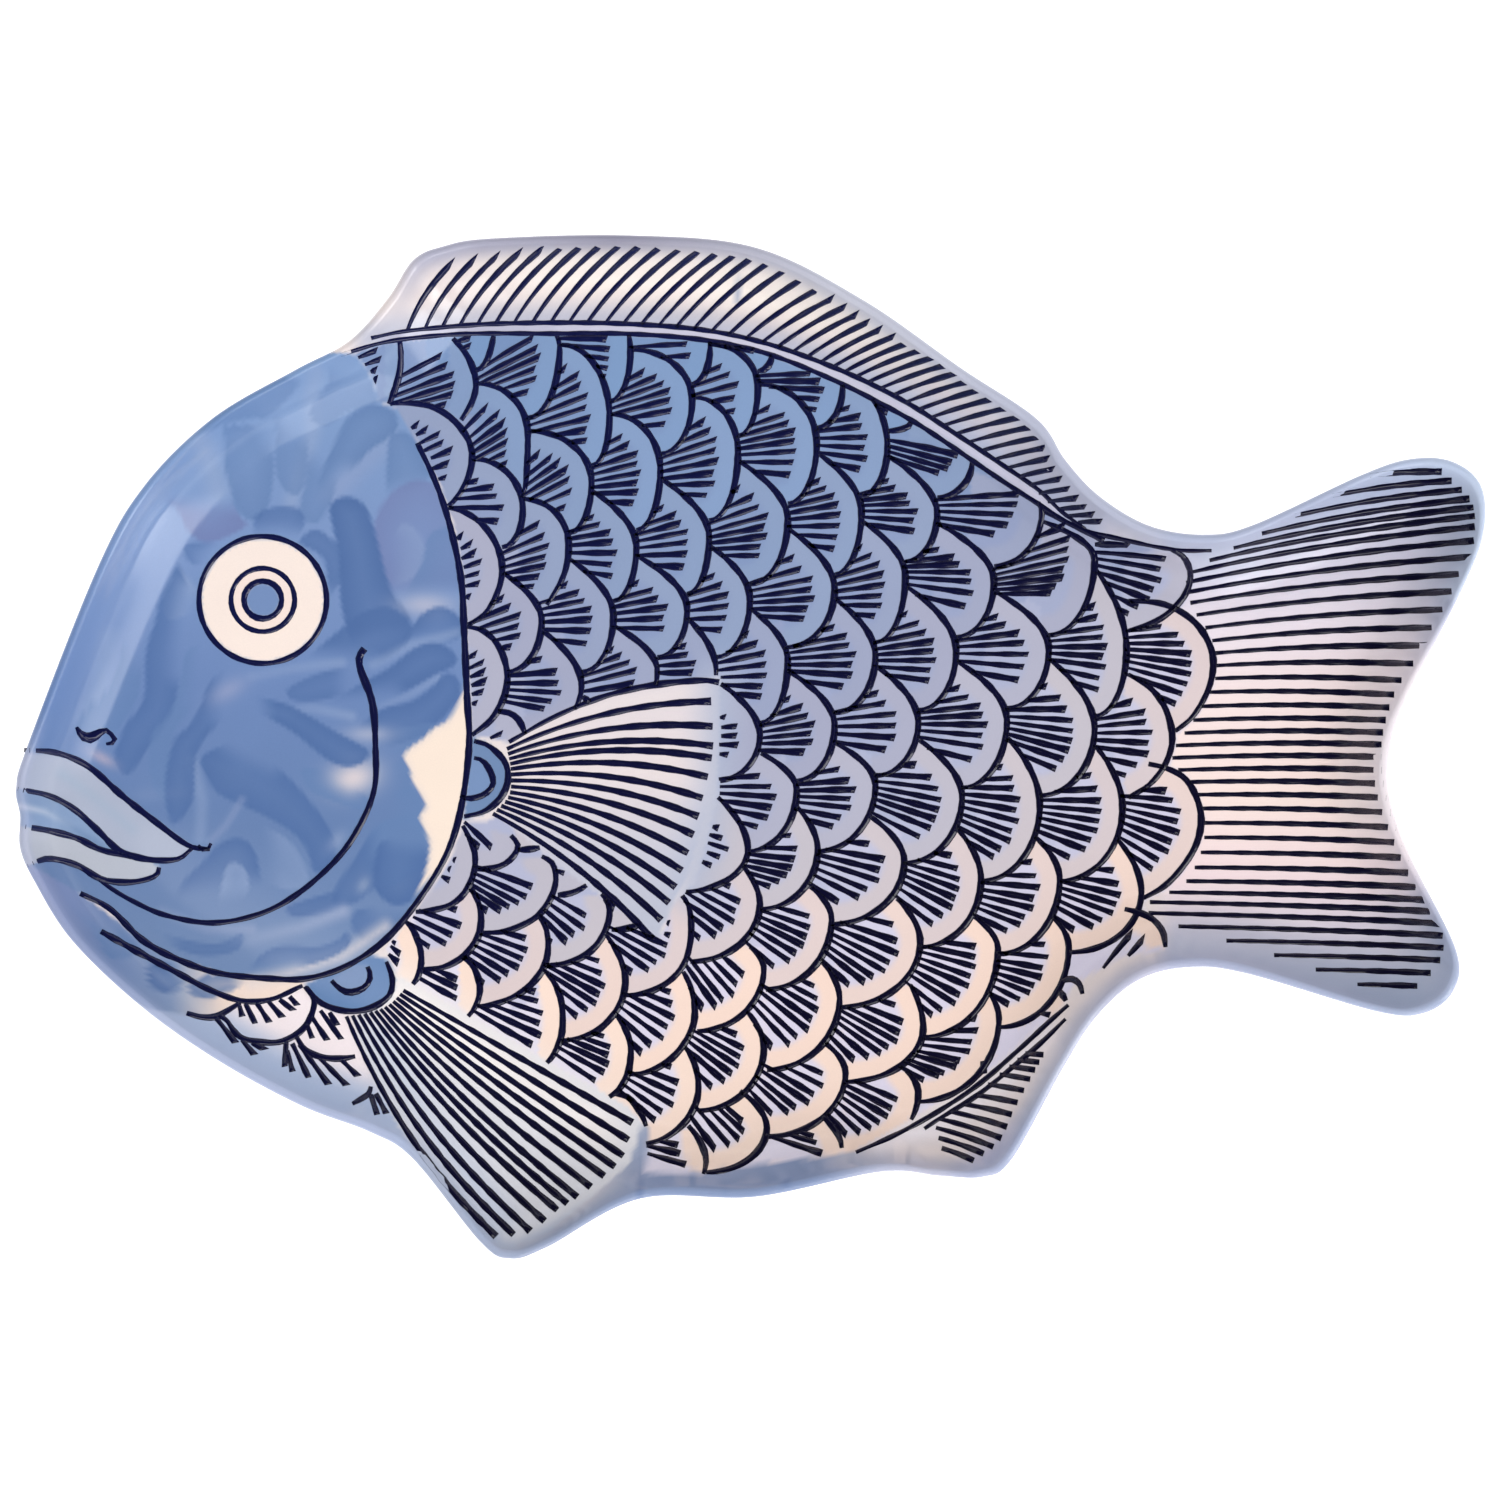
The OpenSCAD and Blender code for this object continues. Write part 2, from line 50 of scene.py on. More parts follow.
# Each row is a point of the lip's outer edge and the point of the flat well's edge below it, in pixels
# of the 1500 pixel frame. All other places are such pixels too.
rim_and_well = [
    (16, 788, 352, 770), (28, 744, 349, 735), (98, 566, 360, 615), (145, 484, 377, 550),
    (213, 417, 405, 495), (295, 369, 441, 445), (349, 340, 470, 412), (388, 297, 495, 385),
    (413, 259, 515, 364), (443, 245, 532, 348), (492, 237, 557, 334), (630, 234, 645, 315),
    (755, 246, 748, 320), (862, 298, 825, 357), (961, 367, 911, 415), (1037, 418, 987, 471),
    (1066, 460, 1019, 508), (1100, 496, 1062, 545), (1149, 525, 1121, 578), (1204, 534, 1185, 600),
    (1254, 524, 1246, 604), (1362, 474, 1343, 580), (1412, 458, 1372, 576), (1453, 461, 1388, 580),
    (1481, 485, 1392, 592), (1484, 530, 1390, 608), (1464, 585, 1378, 634), (1407, 698, 1334, 712),
    (1390, 750, 1322, 750), (1390, 797, 1322, 790), (1409, 854, 1334, 832), (1456, 950, 1367, 896),
    (1453, 992, 1370, 915), (1423, 1014, 1359, 926), (1376, 1012, 1335, 928), (1246, 974, 1235, 900),
    (1187, 968, 1178, 890), (1138, 981, 1122, 895), (1096, 1018, 1062, 930), (1063, 1069, 1022, 990),
    (1012, 1160, 958, 1085), (983, 1178, 930, 1105), (940, 1177, 894, 1112), (880, 1173, 850, 1117),
    (756, 1198, 745, 1130), (640, 1200, 640, 1118), (548, 1248, 570, 1080), (510, 1260, 546, 1062),
    (480, 1243, 524, 1048), (413, 1160, 474, 1010), (370, 1133, 449, 986), (302, 1107, 419, 950),
    (219, 1062, 391, 905), (141, 1007, 370, 862), (72, 941, 358, 820), (34, 881, 354, 798),
    (20, 848, 352, 791), (20, 816, 352, 783),
]
foot_line = [
    (392, 745), (416, 600), (480, 480), (601, 400), (740, 385), (880, 450), (1000, 545), (1110, 640),
    (1200, 672), (1271, 690), (1288, 750), (1271, 805), (1200, 825), (1110, 850), (1011, 930),
    (919, 1030), (800, 1062), (680, 1060), (560, 1010), (449, 900),
]


def smooth(points, steps, closed=False):
    """A round curve through the points, with that many steps from each to the next."""
    p = np.array(points, float)
    if closed:
        p = np.vstack([p[-1:], p, p[:2]])
    else:
        p = np.vstack([2 * p[0] - p[1], p, 2 * p[-1] - p[-2]])
    a, b, c, d = (p[k : len(p) - 3 + k, None, :] for k in range(4))
    t = (np.arange(steps) / steps)[None, :, None]
    curve = 2 * b + (c - a) * t + (2 * a - 5 * b + 4 * c - d) * t**2 + (3 * b - a - 3 * c + d) * t**3
    curve = curve.reshape(-1, p.shape[1]) / 2
    return curve if closed else np.vstack([curve, p[-2]])


edge_steps = 16
edge_rows = smooth(rim_and_well, edge_steps, closed=True)
edge_low, edge_high = edge_rows[:, :2].min(0), edge_rows[:, :2].max(0)


def to_mm(pixels):
    share = (np.asarray(pixels, float) - edge_low) / (edge_high - edge_low) - 0.5
    return share * (platter_length, -platter_width)


def to_pixels(places):
    share = np.asarray(places)[..., :2] / (platter_length, -platter_width) + 0.5
    return edge_low + share * (edge_high - edge_low)


rim, well = to_mm(edge_rows[:, :2]), to_mm(edge_rows[:, 2:])
run = np.hypot(*(well - rim).T)
inward = (well - rim) / run[:, None]
onward = np.stack([-inward[:, 1], inward[:, 0]], 1)
stations = len(rim)

lip_radius = lip_thick / 2
floor_top = foot_height + floor_thick
floor_middle = foot_height + floor_thick / 2
rise = platter_height - lip_radius - floor_middle


def wall_point(reach, u, side, sunk=0.0):
    """Way in from the edge and height at share u of the way up: side 1 is the upper one, -1 the lower."""
    u = np.maximum(u, 0)
    steep = np.maximum(0, 1 - wall_width / reach)
    fall = 2 * reach / wall_width
    middle_in = lip_radius + (1 - u) * (reach - lip_radius)
    middle_up = floor_middle + rise * ((1 - steep) * u**2 + steep * u**fall)
    slope = rise / (reach - lip_radius) * (2 * (1 - steep) * u + fall * steep * u ** (fall - 1))
    lean = np.arctan(slope)
    off = side * (floor_thick + (lip_thick - floor_thick) * u) / 2 - sunk
    return middle_in + off * np.sin(lean), middle_up + off * np.cos(lean), lean


def lip_point(angle, radius):
    return lip_radius - radius * np.cos(angle), platter_height - lip_radius + radius * np.sin(angle)


def upper_rings(ways, lip_steps, sunk=0.0):
    """Rings of the upper side: over the wall at those ways in from the edge, then over the lip."""
    rings = []
    for way in ways:
        way_in, up, lean = wall_point(run, 1 - (way - lip_radius) / (run - lip_radius), 1, sunk)
        rings.append((way_in, up))
    top_lean = wall_point(run, np.ones(stations), 1)[2]
    for k in range(1, lip_steps + 1):
        rings.append(lip_point((math.pi / 2 + top_lean) * (1 - k / lip_steps), lip_radius - sunk))
    return rings


def lower_rings(ways, lip_steps):
    top_lean = wall_point(run, np.ones(stations), 1)[2]
    rings = [lip_point((top_lean - math.pi / 2) * k / lip_steps, lip_radius) for k in range(lip_steps + 1)]
    for way in ways:
        rings.append(wall_point(run, 1 - (way - lip_radius) / (run - lip_radius), -1)[:2])
    return rings


def ring_places(rings):
    return [np.column_stack([rim + inward * way_in[:, None], up]) for way_in, up in rings]


def band(near, far, count=stations):
    """Quads between two closed rings of points, given the number of each ring's first point."""
    a = np.arange(count)
    b = (a + 1) % count
    return np.stack([near + a, near + b, far + b, far + a], 1).tolist()


def bands(firsts, count=stations):
    return [quad for near, far in zip(firsts, firsts[1:]) for quad in band(near, far, count)]


def add_piece(name, places, faces, material, stands_for=(), flat=(), unwrapped=None):
    """A mesh in millimetres becomes a piece of the object; flat lists the faces that aren't rounded."""
    mesh = bpy.data.meshes.new(name)
    mesh.from_pydata((np.asarray(places) / 1000).tolist(), [], faces)
    rounded = np.ones(len(faces), bool)
    rounded[list(flat)] = False
    mesh.polygons.foreach_set("use_smooth", rounded)
    if unwrapped is None:
        unwrapped = np.asarray(places)[:, :2] / platter_length + 0.5
    corners = np.zeros(len(mesh.loops), int)
    mesh.loops.foreach_get("vertex_index", corners)
    mesh.uv_layers.new(name="OFBake").data.foreach_set("uv", unwrapped[corners].ravel())
    mesh.materials.append(material)
    mesh.update()
    piece = bpy.data.objects.new(name, mesh)
    bpy.context.scene.collection.objects.link(piece)
    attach(piece, "root")
    if stands_for:
        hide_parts(*stands_for)
    return piece


class Value:
    """A shader socket, so that sums on it are written as sums."""

    def __init__(self, tree, socket):
        self.tree, self.socket = tree, socket

    def node(self, kind, settings=None, **sockets):
        """A new node; each socket is given by its label, or by an i and its number."""
        made = self.tree.nodes.new(kind)
        for key, value in (settings or {}).items():
            setattr(made, key, value)
        for key, value in sockets.items():
            numbered = key[0] == "i" and key[1:].isdigit()
            socket = made.inputs[int(key[1:]) if numbered else key.replace("_", " ")]
            if isinstance(value, Value):
                self.tree.links.new(value.socket, socket)
            else:
                socket.default_value = value
        return made

    def value_of(self, kind, output, settings=None, **sockets):
        return Value(self.tree, self.node(kind, settings, **sockets).outputs[output])

    def sum(self, operation, a, b):
        return self.value_of("ShaderNodeMath", 0, {"operation": operation}, i0=a, i1=b)

    def __add__(self, other):
        return self.sum("ADD", self, other)

    def __radd__(self, other):
        return self.sum("ADD", other, self)

    def __sub__(self, other):
        return self.sum("SUBTRACT", self, other)

    def __rsub__(self, other):
        return self.sum("SUBTRACT", other, self)

    def __mul__(self, other):
        return self.sum("MULTIPLY", self, other)

    def __rmul__(self, other):
        return self.sum("MULTIPLY", other, self)

    def noise(self, scale, detail, roughness=0.5):
        return self.value_of(
            "ShaderNodeTexNoise", "Fac", Vector=self, Scale=scale, Detail=detail, Roughness=roughness
        )

    def feed(self, node, name):
        self.tree.links.new(self.socket, node.inputs[name])

    def mix(self, low, high):
        """From low to high as this value goes from 0 to 1."""
        return self.value_of("ShaderNodeMix", 2, {"data_type": "RGBA"}, Factor=self, i6=low, i7=high)


def new_material(name):
    """An empty glossy material, its Principled shader, and a value to start sums from: its mesh places."""
    material = bpy.data.materials.new(name)
    material.use_nodes = True
    tree = material.node_tree
    shader = tree.nodes["Principled BSDF"]
    place = Value(tree, tree.nodes.new("ShaderNodeTexCoord").outputs["Object"])
    return material, shader, place


def linear(colour):
    c = np.asarray(colour, float) / 255
    return np.where(c <= 0.04045, c / 12.92, ((c + 0.055) / 1.055) ** 2.4)


def rgba(colour):
    return (*linear(colour).tolist(), 1.0)


melamine, shader, place = new_material("white melamine")
speck = place.noise(900.0, 3.0)
cloud = place.noise(35.0, 2.0)
body_colour = (speck * 0.35 + cloud * 0.65).mix(rgba((236, 236, 238)), rgba((245, 245, 246)))
body_colour.feed(shader, "Base Color")
(cloud * 0.08 + 0.16).feed(shader, "Roughness")
waves = place.value_of("ShaderNodeBump", 0, Height=cloud, Strength=0.05, Distance=0.001)
waves.feed(shader, "Normal")
shader.inputs["IOR"].default_value = 1.55

near_ways = [lip_radius + (wall_width - lip_radius) * k / 7 for k in range(7)]
far_ways = [wall_width + (run - wall_width) * (k / 11) ** 1.3 for k in range(12)]
body_ways = far_ways[::-1] + near_ways[::-1]
hub = to_mm((751, 747))
body_upper = upper_rings(body_ways, 5, foil_thick)
body_lower = lower_rings(body_ways[::-1], 5)
body_places = ring_places(body_upper + body_lower)
body_faces = bands(range(0, stations * len(body_places), stations))
top_hub = stations * len(body_places)
for k in range(stations):
    n = (k + 1) % stations
    body_faces.append([top_hub, n, k])
    body_faces.append([top_hub + 1, top_hub - stations + k, top_hub - stations + n])
body_places.append([[*hub, floor_top - foil_thick], [*hub, foot_height]])

# The foot ring's section: down its outer side, round its two feet and up its inner side
foot_path = smooth(to_mm(foot_line), 12, closed=True)
foot_along = np.roll(foot_path, -1, 0) - np.roll(foot_path, 1, 0)
foot_outward = np.stack([-foot_along[:, 1], foot_along[:, 0]], 1) / np.hypot(*foot_along.T)[:, None]
half, root = foot_width / 2, foot_root_width
foot_section = [
    (half + root, floor_middle), (half + root, foot_height), (half + root * 0.35, foot_height - root * 0.25),
    (half, foot_height - foot_root_height), (half, 0.7), (half - 0.2, 0.2), (half - 0.7, 0.0),
]
foot_section += [(-way, up) for way, up in foot_section[::-1]]
foot_first = top_hub + 2
for way, up in foot_section:
    body_places.append(np.column_stack([foot_path + foot_outward * way, np.full(len(foot_path), up)]))
foot_firsts = [foot_first + len(foot_path) * j for j in range(len(foot_section))]
body_faces += bands(foot_firsts + foot_firsts[:1], len(foot_path))
add_piece(
    "platter_body_moulding", np.vstack(body_places), body_faces, melamine, ["platter_body"]
)


# The printed foil lies over the upper side and over the lip to its outermost edge. It is printed paper
# under a clear glaze, pressed onto the body in the mould. Its washes were laid on with a wide brush.
lip_steps, band_steps, band_width = 8, 14, 16.0
spot_gap = 0.968
slope_steps = 60

slope_ways = [lip_radius + (run - lip_radius) * k / slope_steps for k in range(slope_steps, -1, -1)]
slope_rings = ring_places(upper_rings(slope_ways, 16))
dish = np.vstack(slope_rings + [[[*hub, floor_top]]])
dish_faces = bands(range(0, len(dish) - 1, stations))
dish_faces += [[len(dish) - 1, (k + 1) % stations, k] for k in range(stations)]
dish_tree = BVHTree.FromPolygons(dish.tolist(), dish_faces)


def height_over(places):
    """Height of the printed face over each place."""
    hits = [dish_tree.ray_cast(Vector((x, y, 60.0)), Vector((0, 0, -1)))[0] for x, y in np.asarray(places)]
    return np.array([hit.z if hit else platter_height - lip_radius for hit in hits])


def depth_inside(spots, outline):
    """How deep each spot lies inside a closed outline, below nought outside it."""
    corners = np.asarray(outline, float)
    nearest = np.full(len(spots), 1e12)
    odd = np.zeros(len(spots), bool)
    for p, q in zip(corners, np.roll(corners, -1, 0)):
        way = q - p
        share = np.clip((spots - p) @ way / max(way @ way, 1e-9), 0, 1)
        off = spots - p - share[:, None] * way
        nearest = np.minimum(nearest, off[:, 0] ** 2 + off[:, 1] ** 2)
        if p[1] != q[1]:
            across = p[0] + (q[0] - p[0]) * (spots[:, 1] - p[1]) / (q[1] - p[1])
            odd ^= ((p[1] > spots[:, 1]) != (q[1] > spots[:, 1])) & (spots[:, 0] < across)
    return np.sqrt(nearest) * np.where(odd, 1, -1)


def along_line(spots, line):
    """Distance of each spot from an open line, and the share of the line's length where it is nearest."""
    points = np.asarray(line, float)
    lengths = np.hypot(*np.diff(points, axis=0).T)
    nearest = np.full(len(spots), 1e12)
    place = np.zeros(len(spots))
    gone = 0.0
    for p, q, length in zip(points, points[1:], lengths):
        way = q - p
        share = np.clip((spots - p) @ way / (length * length), 0, 1)
        off = spots - p - share[:, None] * way
        away = off[:, 0] ** 2 + off[:, 1] ** 2
        place = np.where(away < nearest, gone + share * length, place)
        nearest = np.minimum(nearest, away)
        gone += length
    return np.sqrt(nearest), place / gone


def soft(value, low, high):
    """0 at low and below, 1 at high and above, and a smooth change between."""
    t = np.clip((np.asarray(value, float) - low) / (high - low), 0, 1)
    return t * t * (3 - 2 * t)


def shade(share, *stops):
    """A colour for each share, from stops of a share and a colour."""
    places = [place for place, _ in stops]
    return np.stack([np.interp(share, places, [colour[k] for _, colour in stops]) for k in range(3)], -1)


band_ways = [lip_radius + (band_width - lip_radius) * k / band_steps for k in range(band_steps, -1, -1)]
band_rings = ring_places(upper_rings(band_ways, lip_steps))
inner_edge = band_rings[0][:, :2]
lows, highs = inner_edge.min(0), inner_edge.max(0)
rows = np.arange(lows[1], highs[1], spot_gap * math.sqrt(0.75))
grid = np.array([
    (x, y) for k, y in enumerate(rows)
    for x in np.arange(lows[0] + spot_gap / 2 * (k % 2), highs[0], spot_gap)
])
grid = grid[depth_inside(grid, inner_edge) > spot_gap * 0.6]
middle, _, face_faces = delaunay_2d_cdt(
    [Vector(p) for p in inner_edge.tolist() + grid.tolist()],
    [(k, (k + 1) % stations) for k in range(stations)], [], 1, 1e-5, False,
)[:3]
middle = np.array([tuple(p) for p in middle])
on_platter = depth_inside(middle[np.array(face_faces)].mean(1), inner_edge) > 0
face_faces = np.array(face_faces)[on_platter]
face_places = [np.column_stack([middle, height_over(middle)])] + band_rings[1:]
face_places[0][:stations] = band_rings[0]
firsts = [0] + [len(middle) + stations * k for k in range(len(band_rings) - 1)]
face_faces = face_faces.tolist() + bands(firsts)
skin_first = firsts[-1] + stations
under_skin = ring_places(body_upper[::-1])
skin_firsts = [skin_first + stations * k for k in range(len(under_skin))]
ledge = range(len(face_faces), len(face_faces) + stations)
face_faces += bands([firsts[-1]] + skin_firsts)
last_skin, skin_hub = skin_firsts[-1], skin_first + stations * len(under_skin)
face_faces += [[skin_hub, last_skin + k, last_skin + (k + 1) % stations] for k in range(stations)]
face_places = np.vstack(face_places + under_skin + [[[*hub, floor_top - foil_thick]]])

spots = to_pixels(face_places[:skin_first])
painted = np.tile(np.array([236.0, 224.0, 222.0]), (len(spots), 1))


def lay(weight, colour, chosen=slice(None)):
    """One wash of colour over the chosen spots, as thick as its weight."""
    colour = np.asarray(colour, float)
    if colour.ndim == 2:
        colour = colour[chosen]
    painted[chosen] += np.asarray(weight)[:, None] * (colour - painted[chosen])


def close_to(points, reach):
    """The numbers of the spots in the box round the points, widened by the reach."""
    points = np.asarray(points, float)
    return np.flatnonzero(((spots > points.min(0) - reach) & (spots < points.max(0) + reach)).all(1))


def fill(outline, colour, edge):
    """A wash inside a closed outline, with a soft edge that wide."""
    chosen = close_to(outline, edge)
    lay(soft(depth_inside(spots[chosen], outline), -edge / 2, edge / 2), colour, chosen)


def sweep(line, width, colour, start=1.0, end=1.0, edge=None):
    """A sweep of the brush along a line, whose strength changes from its start to its end."""
    chosen = close_to(line, width)
    away, place = along_line(spots[chosen], line)
    edge = width / 2 if edge is None else edge
    lay(soft(width / 2 - away, 0, edge) * (start + (end - start) * place), colour, chosen)


def glow(centre, across, along, turn, colour, strength=1.0):
    """A soft oval of colour, turned by that many degrees."""
    off = spots - centre
    c, s = math.cos(math.radians(turn)), math.sin(math.radians(turn))
    off = np.stack([(off[:, 0] * c + off[:, 1] * s) / along, (off[:, 1] * c - off[:, 0] * s) / across], 1)
    lay(strength * np.exp(-2 * (off**2).sum(1)), colour)


# The guide lines of the drawing
gill_line = [
    (416, 441), (435, 482), (449, 525), (460, 578), (463, 630), (466, 698), (468, 746), (460, 808),
    (445, 856), (416, 903), (383, 942), (344, 968), (305, 980), (269, 980), (220, 975), (182, 963),
    (142, 942), (109, 910), (79, 894),
]
back_upper_line = [
    (371, 337), (407, 329), (477, 322), (551, 320), (623, 321), (701, 327), (767, 341), (839, 367),
    (903, 398), (955, 431), (1006, 465), (1040, 489), (1062, 510), (1086, 528),
]
back_lower_line = [
    (341, 354), (383, 341), (430, 334), (477, 331), (551, 331), (623, 331), (701, 337), (767, 351),
    (839, 380), (903, 413), (940, 436), (1000, 477), (1040, 503), (1064, 519), (1084, 529), (1103, 534),
    (1125, 539), (1156, 546), (1185, 550), (1212, 550),
]
tail_roots = [
    (1370, 475), (1262, 533), (1194, 571), (1192, 602), (1214, 640), (1217, 678), (1195, 720), (1174, 758),
    (1200, 795), (1206, 838), (1188, 882), (1150, 914), (1275, 956), (1400, 1000),
]
scaled_field = [(355, 352)] + back_lower_line[1:-2] + [
    (1184, 553), (1194, 568), (1194, 582), (1187, 600), (1180, 609), (1197, 618), (1211, 636), (1218, 657),
    (1216, 681), (1208, 702), (1195, 720), (1177, 735), (1178, 745), (1170, 766), (1188, 775), (1201, 795),
    (1206, 820), (1201, 846), (1187, 870), (1168, 890), (1144, 903), (1146, 913), (1158, 920), (1167, 933),
    (1168, 950), (1121, 958),
    (1075, 985), (1060, 1012), (1000, 1066), (950, 1098), (900, 1128), (855, 1153), (759, 1166), (703, 1175),
    (645, 1175), (648, 1130), (626, 1108), (540, 1060), (470, 1018), (420, 990), (398, 978), (385, 950),
    (402, 928), (427, 895), (449, 862), (464, 822), (485, 822), (499, 815), (560, 868), (614, 905),
    (662, 937), (673, 905), (695, 885), (705, 850), (717, 800), (720, 740), (720, 675), (651, 685),
    (601, 697), (551, 718), (508, 742), (490, 738), (470, 736), (470, 698), (466, 640), (463, 578),
    (454, 525), (439, 482), (418, 441), (397, 408), (388, 402), (378, 400), (373, 382), (365, 365),
]
side_fin = [
    (505, 745), (551, 718), (601, 697), (651, 685), (718, 680), (715, 760), (705, 815), (690, 868),
    (668, 915), (658, 940), (614, 905), (560, 868), (499, 817), (512, 785),
]
belly_fin = [
    (398, 978), (470, 1018), (540, 1060), (626, 1108), (642, 1125), (630, 1165), (590, 1200), (550, 1232),
    (510, 1250), (480, 1238), (440, 1180), (400, 1130), (372, 1080), (350, 1020), (385, 1005),
]

# The back fin: cream in the middle, greyer at its root and bluer at its edge
edge_depth = depth_inside(spots, edge_rows[::4, :2])
root_away, root_place = along_line(spots, back_upper_line)
fin_blue = shade(root_place, (0, (190, 194, 212)), (0.5, (176, 182, 208)), (1, (160, 178, 212)))
above_back = (spots[:, 1] < np.interp(spots[:, 0], *np.array(back_lower_line).T) + 6) & (spots[:, 0] < 1185)
lay(above_back * soft(root_away, 20, 42) * soft(spots[:, 0], 430, 560), (255, 244, 236))
lay(above_back * soft(root_away, 30, 2) * 0.75, fin_blue)
lay(above_back * soft(root_place, 0.55, 0.95) * 0.55, (184, 187, 212))

# The tail: cream in the middle, and blue towards both lobes' outer edges
on_tail = soft(spots[:, 0], 1150, 1180)
tail_share = np.clip((spots[:, 1] - 470) / 540, 0, 1)
lay(on_tail, shade(
    tail_share, (0, (178, 186, 214)), (0.14, (214, 212, 230)), (0.3, (240, 228, 236)),
    (0.42, (250, 230, 228)), (0.6, (252, 230, 222)), (0.76, (248, 226, 228)), (0.86, (222, 215, 228)),
    (1, (176, 188, 214)),
))
# A pale sweep along the upper lobe: partly the print's paler wash there, and partly painted highlight
# standing in for the glaze's reflection on that lobe's wall
sweep([(1225, 566), (1300, 556), (1360, 530), (1430, 500)], 58, (238, 234, 246), 0.9, 0.35, 34)
notch_away = np.hypot(spots[:, 0] - 1392, spots[:, 1] - 760)
lay(on_tail * soft(edge_depth, 70, 10) * soft(notch_away, 90, 220) * 0.5, (164, 180, 206))
lay(soft(notch_away, 190, 30) * soft(edge_depth, 70, 5) * 0.6, (246, 240, 246))

# The belly's edge and the anal fin
on_belly = soft(spots[:, 1], 1090, 1150) * soft(spots[:, 0], 560, 660) * soft(spots[:, 0], 900, 800)
lay(on_belly, (140, 156, 190))
on_anal_fin = soft(spots[:, 1] - 0.78 * (1200 - spots[:, 0]), 960, 1000) * soft(spots[:, 0], 850, 900)
lay(on_anal_fin * soft(spots[:, 0], 1180, 1120), (184, 184, 210))
sweep([(880, 1146), (940, 1128), (1000, 1085), (1050, 1036)], 52, (250, 244, 252), 0.9, 0.7, 34)

# Under the jaw: cream beside the partial scales, and blue towards the platter's edge
under_jaw = [(150, 985), (206, 1000), (300, 990), (316, 1006), (345, 1018), (372, 1080), (396, 1128),
             (360, 1128), (300, 1100), (220, 1058), (170, 1020)]
fill(under_jaw, (255, 242, 244), 10)
by_jaw = soft(spots[:, 1], 960, 1010) * soft(spots[:, 0], 440, 400)
lay(soft(edge_depth, 62, 26) * by_jaw * 0.9, (172, 190, 222))

# The scales stand in a staggered lattice, whose guide points are the tips of every third row,
# four in a row from its first column to its last
last_row, last_column = 12, 18
guide_rows = [
    [(436, 368), (670, 332), (896, 362), (1119, 470)], [(501, 560), (709, 522), (941, 504), (1215, 525)],
    [(492, 737), (720, 740), (965, 721), (1210, 750)], [(448, 829), (676, 890), (912, 965), (1156, 978)],
    [(377, 960), (590, 1050), (798, 1172), (1000, 1245)],
]


def on_curve(points, share):
    """The place at a share of a round curve through the points; it goes on straight past its ends."""
    points = np.asarray(points, float)
    last = len(points) - 1
    k = int(min(max(math.floor(share * last), 0), last - 1))
    t = share * last - k
    before = points[k - 1] if k else 2 * points[0] - points[1]
    after = points[k + 2] if k < last - 1 else 2 * points[last] - points[last - 1]
    b, c = points[k], points[k + 1]
    if not 0 <= t <= 1:
        return b + (c - b) * t
    return (2 * b + (c - before) * t + (2 * before - 5 * b + 4 * c - after) * t**2
            + (3 * b - before - 3 * c + after) * t**3) / 2


tips = {
    (r, c): on_curve([on_curve(line, c / last_column) for line in guide_rows], r / last_row)
    for r in range(-4, 17) for c in range(-3, 22)
}
# Where the drawn scales stand out of line, the right-most point of the arc that the painter drew
drawn = {
    0: {1: (475, 375), 3: (559, 345), 5: (630, 350), 7: (710, 345), 9: (772, 352)},
    1: {0: (470, 455), 2: (527, 432), 4: (609, 415), 6: (692, 398), 8: (758, 385), 10: (843, 385),
        12: (912, 420)},
    2: {1: (522, 508), 3: (591, 480), 5: (660, 468), 7: (738, 450), 9: (817, 442), 11: (888, 445),
        13: (973, 460)},
    3: {0: (500, 560), 2: (566, 545), 4: (636, 545), 6: (709, 535), 8: (788, 518), 10: (862, 510),
        12: (938, 512), 14: (1043, 510), 16: (1130, 545)},
    4: {1: (541, 620), 3: (613, 615), 5: (687, 608), 7: (750, 598), 9: (835, 588), 11: (906, 575),
        13: (995, 580), 15: (1096, 558), 17: (1190, 568)},
    5: {0: (505, 675), 2: (581, 685), 4: (657, 670), 6: (716, 670), 8: (788, 660), 10: (876, 655),
        12: (957, 650), 14: (1050, 648), 16: (1128, 648), 18: (1214, 665)},
    6: {1: (523, 735), 7: (760, 735), 9: (835, 725), 11: (919, 722), 13: (1008, 720), 15: (1096, 728),
        17: (1170, 738)},
    7: {8: (797, 790), 10: (876, 785), 12: (963, 797), 14: (1041, 805), 16: (1124, 808), 18: (1203, 820)},
    8: {7: (748, 850), 9: (818, 850), 11: (905, 862), 13: (982, 880), 15: (1061, 880), 17: (1143, 893)},
    9: {2: (517, 845), 8: (760, 905), 10: (832, 920), 12: (921, 943), 14: (999, 950), 16: (1070, 948),
        18: (1165, 945)},
    10: {1: (475, 867), 3: (550, 880), 5: (608, 910), 7: (693, 930), 9: (764, 970), 11: (840, 1000),
         13: (924, 1030), 15: (1000, 1020)},
    11: {2: (479, 925), 4: (548, 945), 6: (624, 980), 8: (694, 1010), 10: (764, 1050), 12: (846, 1075),
         14: (919, 1095)},
    12: {1: (419, 960), 3: (477, 985), 5: (561, 1012), 7: (631, 1060), 9: (697, 1085), 11: (767, 1130),
         13: (842, 1150)},
    13: {8: (646, 1130), 10: (710, 1155)},
}

